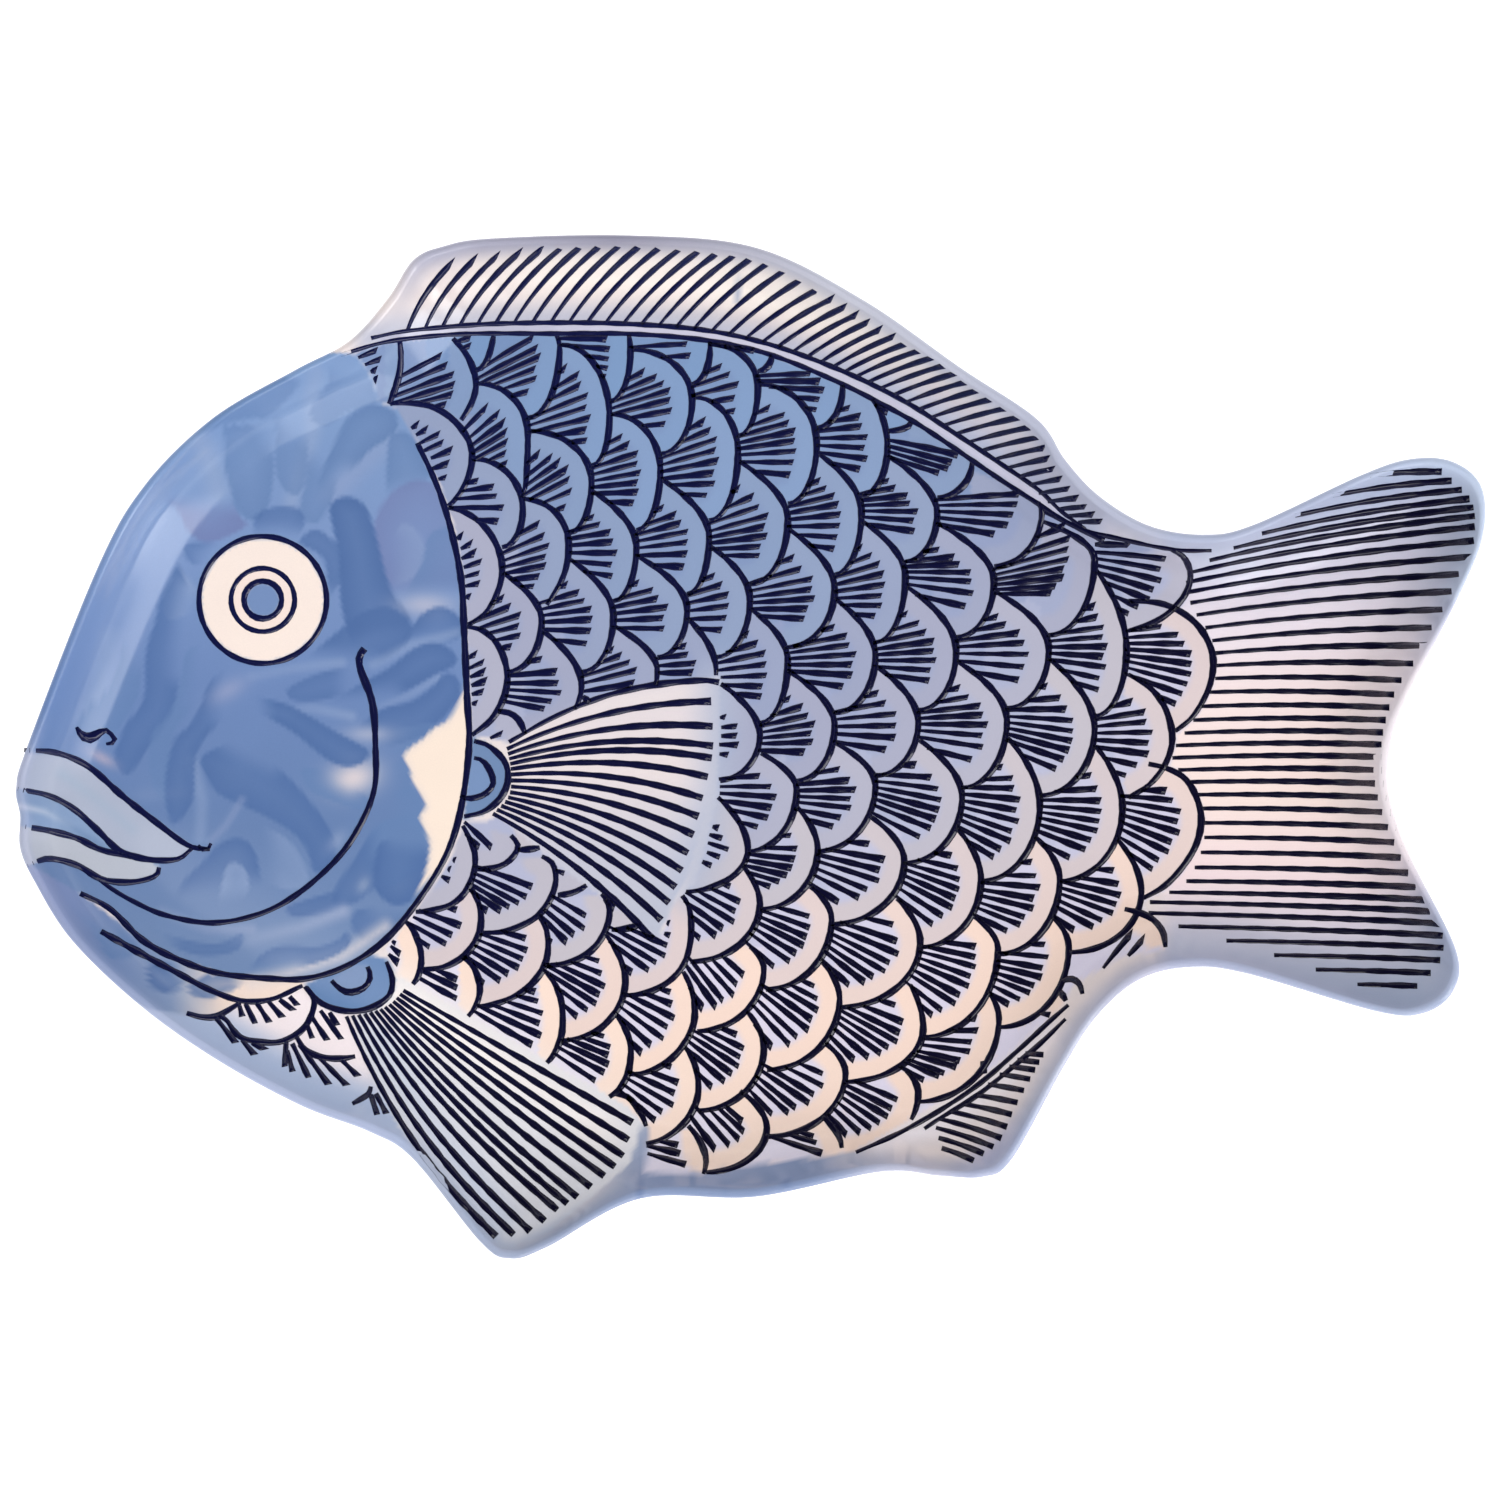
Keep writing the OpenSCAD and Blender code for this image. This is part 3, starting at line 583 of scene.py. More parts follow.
# Near the gill and the belly fin the scales turn downward; each has its own edge, and the root of its fan
turned = {
    (3, 0): [(447, 506), (462, 510), (477, 519), (489, 532), (497, 547), (501, 562), (500, 580), (494, 597),
             (485, 612), (468, 624)],
    (5, 0): [(466, 626), (480, 629), (492, 638), (501, 652), (506, 670), (506, 685), (501, 702), (490, 720),
             (471, 735)],
    (6, 1): [(497, 711), (509, 713), (518, 720), (524, 733), (527, 745)],
    (3, 2): [(523, 497), (540, 501), (556, 512), (566, 530), (568, 548), (565, 568), (558, 585), (546, 604)],
    (-1, 0): [(399, 338), (400, 352), (399, 368), (395, 384), (388, 402)],
    (0, 1): [(452, 336), (464, 350), (472, 366), (475, 384), (470, 402), (460, 418)],
    (1, 0): [(392, 401), (421, 402), (442, 410), (459, 425), (469, 442), (471, 460), (465, 481), (454, 498),
             (445, 506)],
    (4, 17): [(1172, 549), (1184, 556), (1191, 569), (1191, 583), (1184, 598), (1168, 614), (1150, 624),
              (1130, 630)],
    (5, 18): [(1130, 600), (1160, 602), (1181, 610), (1197, 622), (1208, 637), (1215, 657), (1213, 680),
              (1205, 700), (1193, 718), (1177, 731)],
    (6, 17): [(1130, 674), (1150, 686), (1166, 706), (1174, 736), (1168, 762), (1152, 784), (1130, 798)],
    (7, 18): [(1150, 764), (1167, 768), (1186, 778), (1198, 797), (1203, 820), (1198, 845), (1184, 868),
              (1166, 887), (1145, 899)],
    (9, 18): [(1126, 910), (1142, 914), (1155, 921), (1164, 933), (1166, 948)],
    (9, 2): [(510, 836), (517, 845), (514, 855), (505, 864), (492, 869), (475, 870)],
    (10, 1): [(458, 820), (466, 834), (473, 850), (474, 866), (470, 882), (461, 897), (447, 907), (427, 912),
              (411, 913)],
    (10, 3): [(541, 857), (551, 863), (555, 875), (554, 888), (548, 903), (537, 917), (520, 927), (502, 933),
              (480, 934)],
    (11, 2): [(466, 884), (474, 896), (479, 909), (480, 924), (477, 938), (469, 951), (458, 961), (441, 969),
              (419, 971)],
    (12, 1): [(401, 919), (411, 930), (417, 943), (420, 957), (419, 971), (414, 983), (406, 990)],
    (11, 4): [(537, 916), (544, 926), (547, 939), (547, 954), (543, 969), (534, 982), (522, 993), (505, 1002),
              (488, 1007), (477, 1008)],
    (12, 3): [(461, 958), (470, 965), (476, 976), (479, 989), (477, 1002), (472, 1012), (467, 1018)],
    (12, 5): [(545, 973), (554, 985), (560, 1000), (562, 1018), (561, 1036), (556, 1051), (549, 1062),
              (542, 1068)],
    (10, 5): [(604, 900), (609, 910), (607, 926), (598, 944), (584, 957), (564, 965), (546, 967)],
    (11, 6): [(605, 935), (615, 950), (622, 966), (625, 983), (621, 1003), (611, 1019), (596, 1033),
              (578, 1040), (560, 1043)],
    (12, 7): [(616, 1017), (625, 1031), (630, 1046), (630, 1061), (627, 1077), (619, 1091), (609, 1099),
              (600, 1105)],
    (10, 7): [(680, 894), (688, 906), (691, 924), (690, 944), (684, 965), (671, 981), (653, 992), (637, 996),
              (623, 997)],
    (11, 8): [(683, 973), (690, 987), (694, 1004), (694, 1023), (687, 1041), (673, 1059), (655, 1071),
              (639, 1076), (628, 1076)],
    (12, 9): [(685, 1049), (694, 1065), (698, 1083), (697, 1101), (689, 1119), (677, 1132), (661, 1142),
              (642, 1147)],
    (13, 8): [(615, 1096), (627, 1099), (637, 1110), (645, 1126), (647, 1142), (641, 1158), (635, 1165)],
    (13, 10): [(688, 1128), (697, 1139), (704, 1153), (706, 1165), (703, 1177)],
}
# A few arcs start or end off their neighbours' tips, and a few fans end or spring elsewhere than the others
arc_starts = {(8, 7): (715, 795), (9, 8): (743, 867), (8, 9): (797, 807)}
arc_ends = {
    (8, 7): (680, 893), (9, 8): (690, 963), (10, 9): (697, 1033), (11, 10): (698, 1113),
    (10, 11): (767, 1072),
}
fan_ends = {
    (1, 10): [(801, 367), (813, 373), (823, 382), (822, 392), (819, 402), (813, 410), (805, 414)],
    (2, 13): [(959, 447), (956, 457), (948, 467), (935, 474)],
    (3, 14): [(1002, 474), (1018, 485), (1020, 495), (1016, 509), (1010, 521), (1004, 528), (990, 536)],
    (4, 15): [(1062, 520), (1070, 532), (1070, 543), (1069, 556), (1066, 567), (1062, 579), (1055, 589),
              (1044, 597)],
    (4, 17): [(1165, 551), (1164, 564), (1162, 576), (1156, 590), (1148, 600), (1137, 609), (1124, 615)],
}
fan_roots = {
    (1, 10): (759, 383), (2, 13): (886, 442), (3, 14): (938, 508), (4, 15): (996, 577),
    (-1, 0): (326, 388), (0, 1): (388, 402), (1, 0): (352, 486), (4, 17): (1092, 566), (5, 18): (1126, 646),
    (6, 17): (1092, 736), (7, 18): (1122, 806), (9, 18): (1120, 960),
    (9, 2): (466, 824), (10, 1): (404, 852), (10, 3): (474, 874), (11, 2): (414, 914), (12, 1): (380, 930),
    (11, 4): (472, 944), (12, 3): (420, 966), (12, 5): (484, 1000), (10, 5): (548, 908), (11, 6): (552, 968),
    (12, 7): (564, 1042), (10, 7): (614, 930), (11, 8): (626, 1004), (12, 9): (634, 1080),
    (13, 10): (648, 1144),
}

# The gill covers three more tips, and the arcs meet a little under or over a tip, which changes down the fish
read_tips = {(row, column): place for row, line in drawn.items() for column, place in line.items()}
read_tips |= {(2, -1): (447, 506), (4, -1): (468, 638), (6, -1): (471, 745)}
for key, line in turned.items():
    read_tips[key] = max(line)
shift_places = np.array([tips[key] for key in read_tips])
shifts = np.array(list(read_tips.values())) - shift_places
for key in tips:
    nearness = 1 / (((shift_places - tips[key]) ** 2).sum(1) + 100) ** 1.5
    tips[key] = tips[key] + nearness @ shifts / nearness.sum()
for key, place in read_tips.items():
    tips[key] = np.array(place, float)

# How round the shoulder of an arc is, from the third row down
shoulder = 0.526


def scale_arc(row, column, steps=24):
    """A scale's round edge, from under the tip of the scale over it to the tip of the one below."""
    if (row, column) in turned:
        points = turned[row, column]
        return np.array([on_curve(points, k / steps) for k in range(steps + 1)])
    start = tips[row - 1, column - 1] + (
        np.interp(row, (2, 3, 7, 8, 10, 12), (2, 2, 1, -5, -10, -24)),
        np.interp(row, (2, 3, 6, 7, 8, 10), (-3, 10, 11, 18, 32, 43)),
    )
    end = tips[row + 1, column - 1] + (0, np.interp(row, (2, 5, 6, 7, 9), (-16, -12, -9, 2, 9)))
    if row > 8 and column < 11:
        end = end + (2, 12)
    start, end = arc_starts.get((row, column), start), arc_ends.get((row, column), end)
    right = tips[row, column]
    turn = np.linspace(0, math.pi / 2, steps // 2 + 1)
    out = np.sin(turn)
    down = 1 - np.cos(turn) + min(max(row - 2, 0), 1) * (np.cos(turn) - (1 - out) ** shoulder)
    upper = start + (right - start) * np.stack([out, down], 1)
    lower = right + (end - right) * np.stack([1 - np.cos(turn), out], 1)
    return np.vstack([upper, lower[1:]])


scales = [
    (r, c) for c in range(20, -1, -1) for r in range(-2, 15) if (r + c) % 2
    and depth_inside(scale_arc(r, c), scaled_field).max() > 6
]
scale_outlines = {(r, c): np.vstack([scale_arc(r, c), tips[r, c - 2]]) for r, c in scales}
field_weight = soft(depth_inside(spots, scaled_field), -2, 2)
field_spots = np.flatnonzero(field_weight)
rim_tone, fan_tone = {}, {}
for r, c in scales:
    # The blue gives way to cream down the fish, sooner at the gill and the tail, and later over the belly fin
    by_gill = np.interp(c, (0, 1, 2, 5), (3.5, 2.4, 1.3, 0)) * np.interp(r, (3, 5, 8), (1, 0.6, 0))
    by_tail = np.interp(c, (9, 12, 14, 16, 18), (0, 1.1, 2.1, 2.8, 4))
    by_tail = by_tail * np.interp(r, (1, 3, 5, 7, 9, 11), (0, 1, 1, 0.6, 0.5, 0))
    by_belly_fin = np.interp(c, (1, 5, 9), (2.6, 2, 0)) * np.interp(r, (8, 9.5, 11, 12), (0, 1, 0.9, 0))
    where = np.array([r + by_gill + by_tail - by_belly_fin])
    rim_tone[r, c] = shade(
        where, (0, (124, 155, 198)), (2, (134, 159, 199)), (3, (138, 158, 194)), (4, (146, 162, 195)),
        (5, (156, 165, 195)), (6, (168, 171, 196)), (7, (178, 179, 200)), (8, (200, 194, 203)),
        (9, (224, 207, 207)), (10, (250, 222, 207)), (12, (254, 228, 212)),
    )[0]
    fan_tone[r, c] = shade(
        where, (0, (122, 150, 194)), (3, (132, 152, 192)), (5, (148, 160, 196)), (7, (172, 178, 206)),
        (8.5, (198, 198, 222)), (10, (222, 216, 236)), (12, (230, 224, 240)),
    )[0]
nearest, ground_of = np.full(len(field_spots), 1e9), np.zeros((len(field_spots), 3))
for key in scales:
    away = np.hypot(*(spots[field_spots] - scale_arc(*key).mean(0)).T)
    ground_of[away < nearest] = fan_tone[key]
    nearest = np.minimum(nearest, away)
painted[field_spots] += field_weight[field_spots, None] * (ground_of - painted[field_spots])
for r, c in scales:
    arc = scale_arc(r, c)
    near_arc = (spots[field_spots] > arc.min(0) - 4) & (spots[field_spots] < arc.max(0) + 4)
    chosen = field_spots[near_arc.all(1)]
    depth = depth_inside(spots[chosen], scale_outlines[r, c])
    away = along_line(spots[chosen], arc)[0]
    lay(soft(depth, -2, 2) * field_weight[chosen], rim_tone[r, c], chosen)
    lay(soft(depth, -2, 2) * soft(away, 16, 25) * field_weight[chosen], fan_tone[r, c], chosen)

# The light band between the two lines under the back fin
band_line = [(383, 337), (430, 330), (477, 326), (551, 325), (623, 326), (701, 332), (767, 346), (839, 373),
             (901, 405), (952, 434), (1003, 470), (1040, 496), (1056, 508)]
sweep(band_line, 12, (206, 204, 224), 1.0, 1.0, 4)
sweep(band_line[:4], 14, (176, 177, 197), 0.6, 0.3, 6)

# The side fin and the belly fin: nearly white along their middle, bluer at their tips
side_tone = shade(
    np.clip((spots[:, 1] - 690) / 240, 0, 1), (0, (228, 218, 222)), (0.35, (236, 224, 224)),
    (0.7, (202, 202, 216)), (1, (190, 194, 210)),
)
fill(side_fin, side_tone, 3)
sweep([(500, 752), (600, 706), (700, 690)], 34, (238, 228, 226), 0.6, 0.9, 30)
sweep([(720, 684), (716, 790), (690, 890)], 90, (180, 188, 210), 1.0, 0.9, 60)
fill(belly_fin, (226, 226, 232), 3)
# A near-white sweep along the belly fin's top: partly its cream print, and partly painted highlight where the
# glaze mirrors a light along that band
sweep([(400, 1000), (500, 1065), (600, 1130)], 110, (255, 246, 240), 1.0, 0.8, 70)
sweep([(380, 1040), (430, 1130), (500, 1220)], 70, (196, 208, 230), 0.5, 0.9, 50)

# The head: one blue wash, then many overlapping dabs, each darkest at its round end
head = [(0, 790), (20, 690), (80, 540), (130, 470), (205, 400), (290, 350), (338, 352), (355, 353),
        (365, 366), (373, 382), (378, 400), (388, 404), (397, 408)] + gill_line
head += [(60, 905), (10, 860)]
chin = [(5, 850), (79, 894), (142, 942), (182, 963), (220, 975), (269, 980), (303, 984), (290, 992),
        (262, 1003), (239, 1004), (212, 1017), (186, 1016), (150, 1010), (60, 960)]
head_tone = shade(
    np.clip((spots[:, 1] - 380) / 560, 0, 1), (0, (130, 159, 202)), (0.3, (128, 154, 200)),
    (0.55, (112, 139, 188)), (0.8, (106, 133, 179)), (1, (118, 143, 184)),
)
head_depth = depth_inside(spots, head)
in_head = soft(head_depth, -1.5, 1.5)
fill(head, head_tone, 3)
chin_tone = shade(
    np.clip((spots[:, 0] - 40) / 260, 0, 1), (0, (130, 144, 188)), (0.25, (120, 142, 186)),
    (0.5, (140, 160, 195)), (0.7, (250, 228, 214)), (1, (252, 230, 216)),
)
fill(chin, chin_tone, 3)
on_face = soft(np.maximum(head_depth, depth_inside(spots, chin)), -1.5, 1.5)
deep, mid, pale = (82, 113, 166), (104, 134, 181), (148, 168, 204)
dusk, cream = (116, 128, 176), (253, 234, 217)


def dab(colour, strength, reach, *edge):
    """A dab of the brush inside its round edge: crisp and strongest there, and faded to where it began.

    The reach is how far in from its edge the colour stays strong, in pixels."""
    line = smooth(edge, 4)
    chosen = close_to(line, 4)
    weight = soft(depth_inside(spots[chosen], line), -1, 3)
    weight = weight * soft(along_line(spots[chosen], line[[0, -1]])[0], 0, 24)
    weight = weight * (0.3 + 0.7 * np.exp(-along_line(spots[chosen], line)[0] / reach))
    lay(weight * strength * on_face[chosen], colour, chosen)


# The crown and the forehead
sweep([(316, 372), (310, 400), (312, 430), (290, 500)], 30, pale, 0.5, 0.7, 15)
sweep([(386, 440), (360, 462), (330, 492)], 44, (150, 166, 203), 0.45, 0.55, 22)
sweep([(200, 440), (212, 470), (216, 490)], 44, pale, 0.8, 0.6, 24)
dab(mid, 0.7, 40, (180, 450), (215, 428), (250, 418), (268, 416), (300, 380), (250, 380), (190, 420))
dab(mid, 0.8, 26, (268, 424), (226, 424), (223, 440), (222, 463), (228, 487), (232, 504), (240, 515),
    (252, 520), (262, 514), (270, 495), (273, 465), (272, 437))
dab(mid, 0.7, 24, (264, 396), (270, 412), (274, 430), (273, 463), (278, 483), (288, 493), (299, 492),
    (306, 470), (308, 430))
dab(mid, 0.7, 22, (312, 440), (305, 463), (303, 481), (299, 496), (298, 511), (306, 521), (318, 521),
    (330, 500), (340, 470))
dab(mid, 0.6, 34, (329, 360), (326, 381), (316, 396), (308, 408), (311, 419), (324, 425), (345, 412),
    (377, 402), (376, 393), (371, 378), (364, 364))
dab(mid, 1.0, 24, (310, 504), (318, 474), (327, 452), (335, 435), (345, 416), (359, 405), (374, 402),
    (389, 406), (396, 414), (397, 426), (386, 438), (368, 450), (346, 476))
dab(mid, 0.9, 24, (384, 500), (384, 470), (385, 456), (386, 441), (392, 431), (404, 429), (416, 440),
    (430, 470), (420, 490))
dab(dusk, 0.8, 40, (150, 490), (172, 506), (179, 517), (185, 529), (194, 538), (206, 542), (224, 537),
    (246, 524), (238, 514), (230, 496))
dab(deep, 0.75, 30, (252, 540), (252, 516), (270, 505), (296, 506), (304, 520), (296, 540))
dab(deep, 0.7, 16, (226, 540), (196, 540), (185, 542), (181, 549), (185, 559), (194, 565), (207, 563))
dab(pale, 0.6, 30, (205, 600), (176, 562), (170, 576), (160, 596), (166, 620), (196, 610))

# Behind the eye
dab(dusk, 0.7, 40, (392, 600), (378, 560), (372, 536), (374, 515), (384, 497), (400, 483), (424, 478),
    (460, 500), (480, 560), (450, 596))
dab(pale, 0.45, 22, (388, 540), (400, 522), (416, 528), (425, 549), (418, 572), (398, 584), (384, 578))
dab(mid, 0.7, 30, (400, 600), (420, 560), (430, 530), (470, 530), (470, 600))
dab(deep, 0.8, 34, (326, 606), (322, 560), (298, 543), (302, 533), (314, 527), (327, 534), (337, 546),
    (343, 566), (337, 584), (328, 602))
dab(deep, 1.0, 46, (350, 650), (338, 600), (337, 558), (331, 530), (327, 506), (334, 497), (346, 494),
    (358, 498), (367, 508), (374, 528), (380, 551), (386, 575), (395, 596), (410, 616), (400, 640))
glow((424, 604), 16, 40, 0, (200, 198, 214), 0.7)
dab(deep, 0.95, 34, (300, 660), (345, 622), (357, 613), (371, 607), (386, 605), (398, 610), (407, 618),
    (412, 625), (404, 646), (370, 668))
dab(deep, 0.95, 20, (392, 650), (404, 634), (412, 623), (420, 613), (432, 606), (445, 606), (457, 614),
    (470, 630), (440, 648))
sweep([(372, 664), (410, 644), (456, 632)], 18, pale, 0.45, 0.55, 9)
dab(deep, 1.0, 30, (320, 708), (356, 684), (385, 668), (405, 652), (416, 645), (430, 641), (446, 645),
    (456, 656), (453, 666), (434, 676), (390, 700))
sweep([(380, 706), (410, 694), (438, 676)], 12, pale, 0.3, 0.5, 6)
dab(deep, 0.95, 26, (350, 730), (380, 708), (410, 700), (432, 684), (442, 673), (452, 673), (459, 682),
    (460, 695), (452, 708), (440, 721), (425, 736), (380, 750))
dab(mid, 0.6, 30, (380, 730), (430, 722), (434, 728), (418, 742), (405, 752), (384, 756))
dab(deep, 0.75, 24, (352, 664), (320, 671), (296, 681), (284, 690), (290, 700), (312, 702), (350, 694))
sweep([(250, 676), (290, 668), (340, 662)], 18, pale, 0.3, 0.5, 9)
sweep([(270, 714), (310, 708), (350, 716)], 18, pale, 0.2, 0.6, 9)
glow((352, 778), 24, 36, -14, (226, 214, 216), 0.95)
glow((368, 734), 12, 34, 0, (196, 196, 212), 0.6)
dab(deep, 1.0, 26, (250, 694), (285, 703), (310, 716), (335, 731), (356, 742), (369, 752), (361, 764),
    (344, 768), (326, 761), (308, 747), (288, 731), (254, 712))
dab(mid, 0.9, 30, (330, 770), (300, 768), (306, 790), (330, 802), (362, 812), (370, 800), (350, 786))
dab(deep, 0.9, 34, (230, 740), (198, 757), (204, 778), (216, 795), (245, 809), (264, 818), (289, 833),
    (304, 850), (312, 873), (326, 872), (335, 856), (330, 830), (300, 790), (270, 760))
sweep([(190, 760), (200, 800), (198, 840)], 22, pale, 0.5, 0.4, 11)
sweep([(240, 800), (224, 826), (208, 842)], 14, (146, 161, 198), 0.5, 0.4, 7)
dab(pale, 0.5, 24, (256, 822), (285, 838), (300, 858), (308, 882), (290, 892), (262, 884))
glow((335, 842), 10, 18, -50, (160, 174, 204), 0.5)
dab(deep, 1.0, 16, (262, 890), (258, 868), (254, 852), (244, 840), (230, 838), (214, 846), (200, 862),
    (182, 880), (170, 905))
dab(pale, 0.75, 20, (214, 910), (222, 872), (232, 862), (244, 870), (248, 888), (240, 905))

# Down the cheek from the brow to the mouth, long curved strokes with their dark side to the left
sweep([(108, 640), (100, 680), (84, 720)], 36, pale, 0.4, 0.6, 18)
dab(mid, 0.9, 24, (130, 632), (120, 645), (114, 670), (102, 692), (80, 712), (76, 730), (110, 735),
    (135, 700), (142, 660))
dab(deep, 0.85, 28, (190, 590), (176, 562), (168, 578), (158, 596), (152, 622), (145, 642), (142, 664),
    (142, 690), (136, 708), (124, 722), (117, 738), (111, 760), (126, 776), (146, 750), (170, 716),
    (180, 670))
dab(mid, 0.9, 20, (204, 640), (184, 650), (180, 668), (175, 692), (166, 714), (152, 730), (146, 752),
    (150, 786), (166, 800), (170, 740), (196, 700))
dab(deep, 0.9, 22, (226, 664), (212, 676), (204, 686), (198, 704), (187, 724), (173, 737), (166, 757),
    (162, 781), (163, 806), (172, 826), (192, 800), (196, 752), (224, 716))
glow((226, 690), 14, 30, -30, (170, 174, 204), 0.5)
glow((100, 758), 8, 22, 30, (190, 176, 194), 0.7)

# Behind the cheek line
dab(mid, 0.7, 24, (384, 770), (402, 757), (407, 769), (411, 784), (404, 798), (384, 796))
dab(mid, 0.9, 26, (384, 798), (411, 785), (418, 797), (423, 807), (418, 817), (400, 824), (384, 818))
dab(mid, 1.0, 60, (350, 870), (376, 824), (420, 818), (426, 842), (420, 870), (370, 900))
dab(deep, 1.0, 24, (396, 836), (376, 846), (371, 883), (377, 896), (389, 906), (404, 906), (415, 898),
    (424, 875), (427, 851), (420, 838))
dab(deep, 0.8, 26, (382, 820), (370, 832), (350, 862), (334, 886), (330, 904), (346, 908), (372, 890),
    (384, 850))
glow((362, 886), 8, 13, -60, (160, 174, 200), 0.6)
dab(deep, 0.9, 22, (346, 886), (330, 892), (300, 901), (284, 908), (288, 917), (302, 919), (330, 914),
    (350, 902))
dab(deep, 0.7, 40, (380, 906), (352, 912), (350, 930), (366, 944), (392, 934), (412, 908))
sweep([(250, 940), (300, 928), (342, 912)], 26, (156, 170, 202), 0.4, 0.9, 14)
sweep([(250, 984), (290, 974), (340, 958), (384, 928)], 30, (232, 220, 218), 0.9, 0.9, 22)
dab(deep, 0.85, 16, (240, 980), (256, 958), (272, 948), (290, 946), (316, 947), (336, 940), (344, 932),
    (350, 944), (330, 960), (290, 972))
sweep([(160, 912), (205, 930), (250, 930)], 18, (150, 164, 198), 0.4, 0.6, 9)
dab(deep, 0.7, 16, (140, 925), (176, 938), (215, 944), (240, 934), (236, 952), (200, 958), (160, 945))

# The cream patch behind the cheek, which the dabs before it cut into scallops
patch_edge = smooth([(466, 680), (456, 704), (446, 720), (432, 728), (422, 738), (408, 748), (402, 757),
                     (408, 769), (411, 782), (420, 796), (424, 807), (418, 817), (423, 830), (428, 845),
                     (426, 863), (421, 880), (413, 900)], 5)
patch = np.vstack([patch_edge, [(447, 856), (462, 808), (470, 746), (468, 700)]])
lay(soft(depth_inside(spots, patch), -1.5, 2.5) * in_head, cream)
patch_rim = soft(along_line(spots, patch_edge)[0], 9, 0) * soft(depth_inside(spots, patch), -1, 2)
lay(patch_rim * in_head * 0.3, (226, 214, 216))

# The chin
dab(mid, 0.8, 30, (60, 900), (90, 930), (110, 960), (140, 950), (110, 920))
dab(deep, 0.95, 18, (182, 964), (150, 962), (146, 976), (151, 989), (166, 995), (179, 990), (186, 974))
dab(deep, 0.85, 16, (250, 978), (210, 974), (190, 984), (190, 996), (208, 1001), (230, 993), (248, 984))

# The half discs at the roots of the two fins
side_disc = [(470, 736), (488, 744), (504, 760), (509, 781), (500, 801), (483, 814), (462, 820), (466, 780)]
side_core = [(469, 756), (482, 760), (491, 773), (493, 785), (484, 796), (466, 801), (466, 778)]
belly_disc = [(303, 986), (314, 1003), (331, 1012), (351, 1015), (372, 1011), (390, 998), (394, 980),
              (387, 961), (366, 955), (340, 968)]
belly_core = [(329, 981), (338, 991), (349, 995), (363, 990), (370, 978), (367, 966), (350, 966)]
for disc, colour in (
    (side_disc, (114, 140, 180)), (side_core, (122, 148, 190)),
    (belly_disc, (106, 138, 184)), (belly_core, (124, 148, 188)),
):
    fill(disc, colour, 4)

# The eye, and the two lips with the mouth's gap between them
eye_centre = np.array([261.0, 599.0])
eye_away = np.hypot(*(spots - eye_centre).T)
lay(soft(eye_away, 64, 60), (254, 237, 226))
lay(soft(eye_away, 33, 29), (252, 232, 222))
lay(soft(eye_away, 20, 16), (119, 145, 190))
lip_lines = {
    "upper lip, top": [(24, 750), (56, 753), (87, 767), (120, 796), (153, 822), (186, 846), (208, 850)],
    "upper lip, foot": [(18, 789), (48, 796), (73, 810), (98, 833), (117, 851), (145, 860), (175, 860),
                        (190, 849)],
    "lower lip, top": [(20, 826), (48, 831), (76, 839), (98, 850), (130, 858)],
    "lower lip, foot": [(28, 866), (48, 859), (76, 866), (100, 880), (129, 883), (153, 877), (157, 868)],
}
upper_top, upper_foot, lower_top, lower_foot = lip_lines.values()
fill([(0, 745)] + upper_top[:-1] + upper_foot[::-1] + [(0, 790)], (178, 186, 206), 3)
sweep([(60, 774), (90, 796), (130, 830)], 24, (166, 184, 206), 0.8, 0.8, 20)
fill([(0, 786)] + upper_foot[:6] + lower_top[::-1] + [(0, 828)], (138, 162, 198), 3)
sweep([(20, 806), (44, 812), (70, 826)], 14, (238, 238, 244), 1.0, 0.2, 12)
sweep([(50, 812), (80, 834), (104, 850)], 14, (100, 130, 172), 0.3, 0.9, 12)
fill([(0, 826)] + lower_top + [(150, 862)] + lower_foot[::-1] + [(0, 866)], (191, 196, 208), 3)

# The airbrushed edge, which all the fins and the belly share, and which the head hardly has
edge_weight = soft(edge_depth, 26, 4) * soft(spots[:, 0], 380, 430) * 0.75
edge_share = np.clip((spots[:, 0] - 400) / 1080, 0, 1)
top_tone = shade(
    edge_share, (0, (170, 174, 200)), (0.2, (118, 119, 148)), (0.4, (178, 184, 206)),
    (0.85, (172, 180, 206)), (1, (196, 210, 232)),
)
low_tone = shade(
    edge_share, (0, (160, 174, 202)), (0.15, (124, 143, 180)), (0.22, (142, 158, 192)),
    (0.38, (134, 151, 187)), (0.48, (176, 180, 206)), (0.58, (164, 176, 204)), (0.7, (168, 172, 200)),
    (1, (166, 177, 204)),
)
edge_tone = np.where(spots[:, 1:] < 600, top_tone, low_tone)
lay(edge_weight * (1 - 0.8 * soft(notch_away, 190, 80)), edge_tone)
faint_strokes = [
    [(638, 1166), (640, 1202)], [(724, 1166), (727, 1194)], [(785, 1182), (786, 1194)],
    [(736, 243), (738, 300)],
]
for line in faint_strokes:
    sweep(line, 5, (96, 120, 168), 0.6, 0.5, 3)
by_mouth = soft(spots[:, 0], 430, 380) * soft(spots[:, 1], 700, 760)
lay(soft(edge_depth, 16, 3) * by_mouth * 0.55, (176, 182, 212))

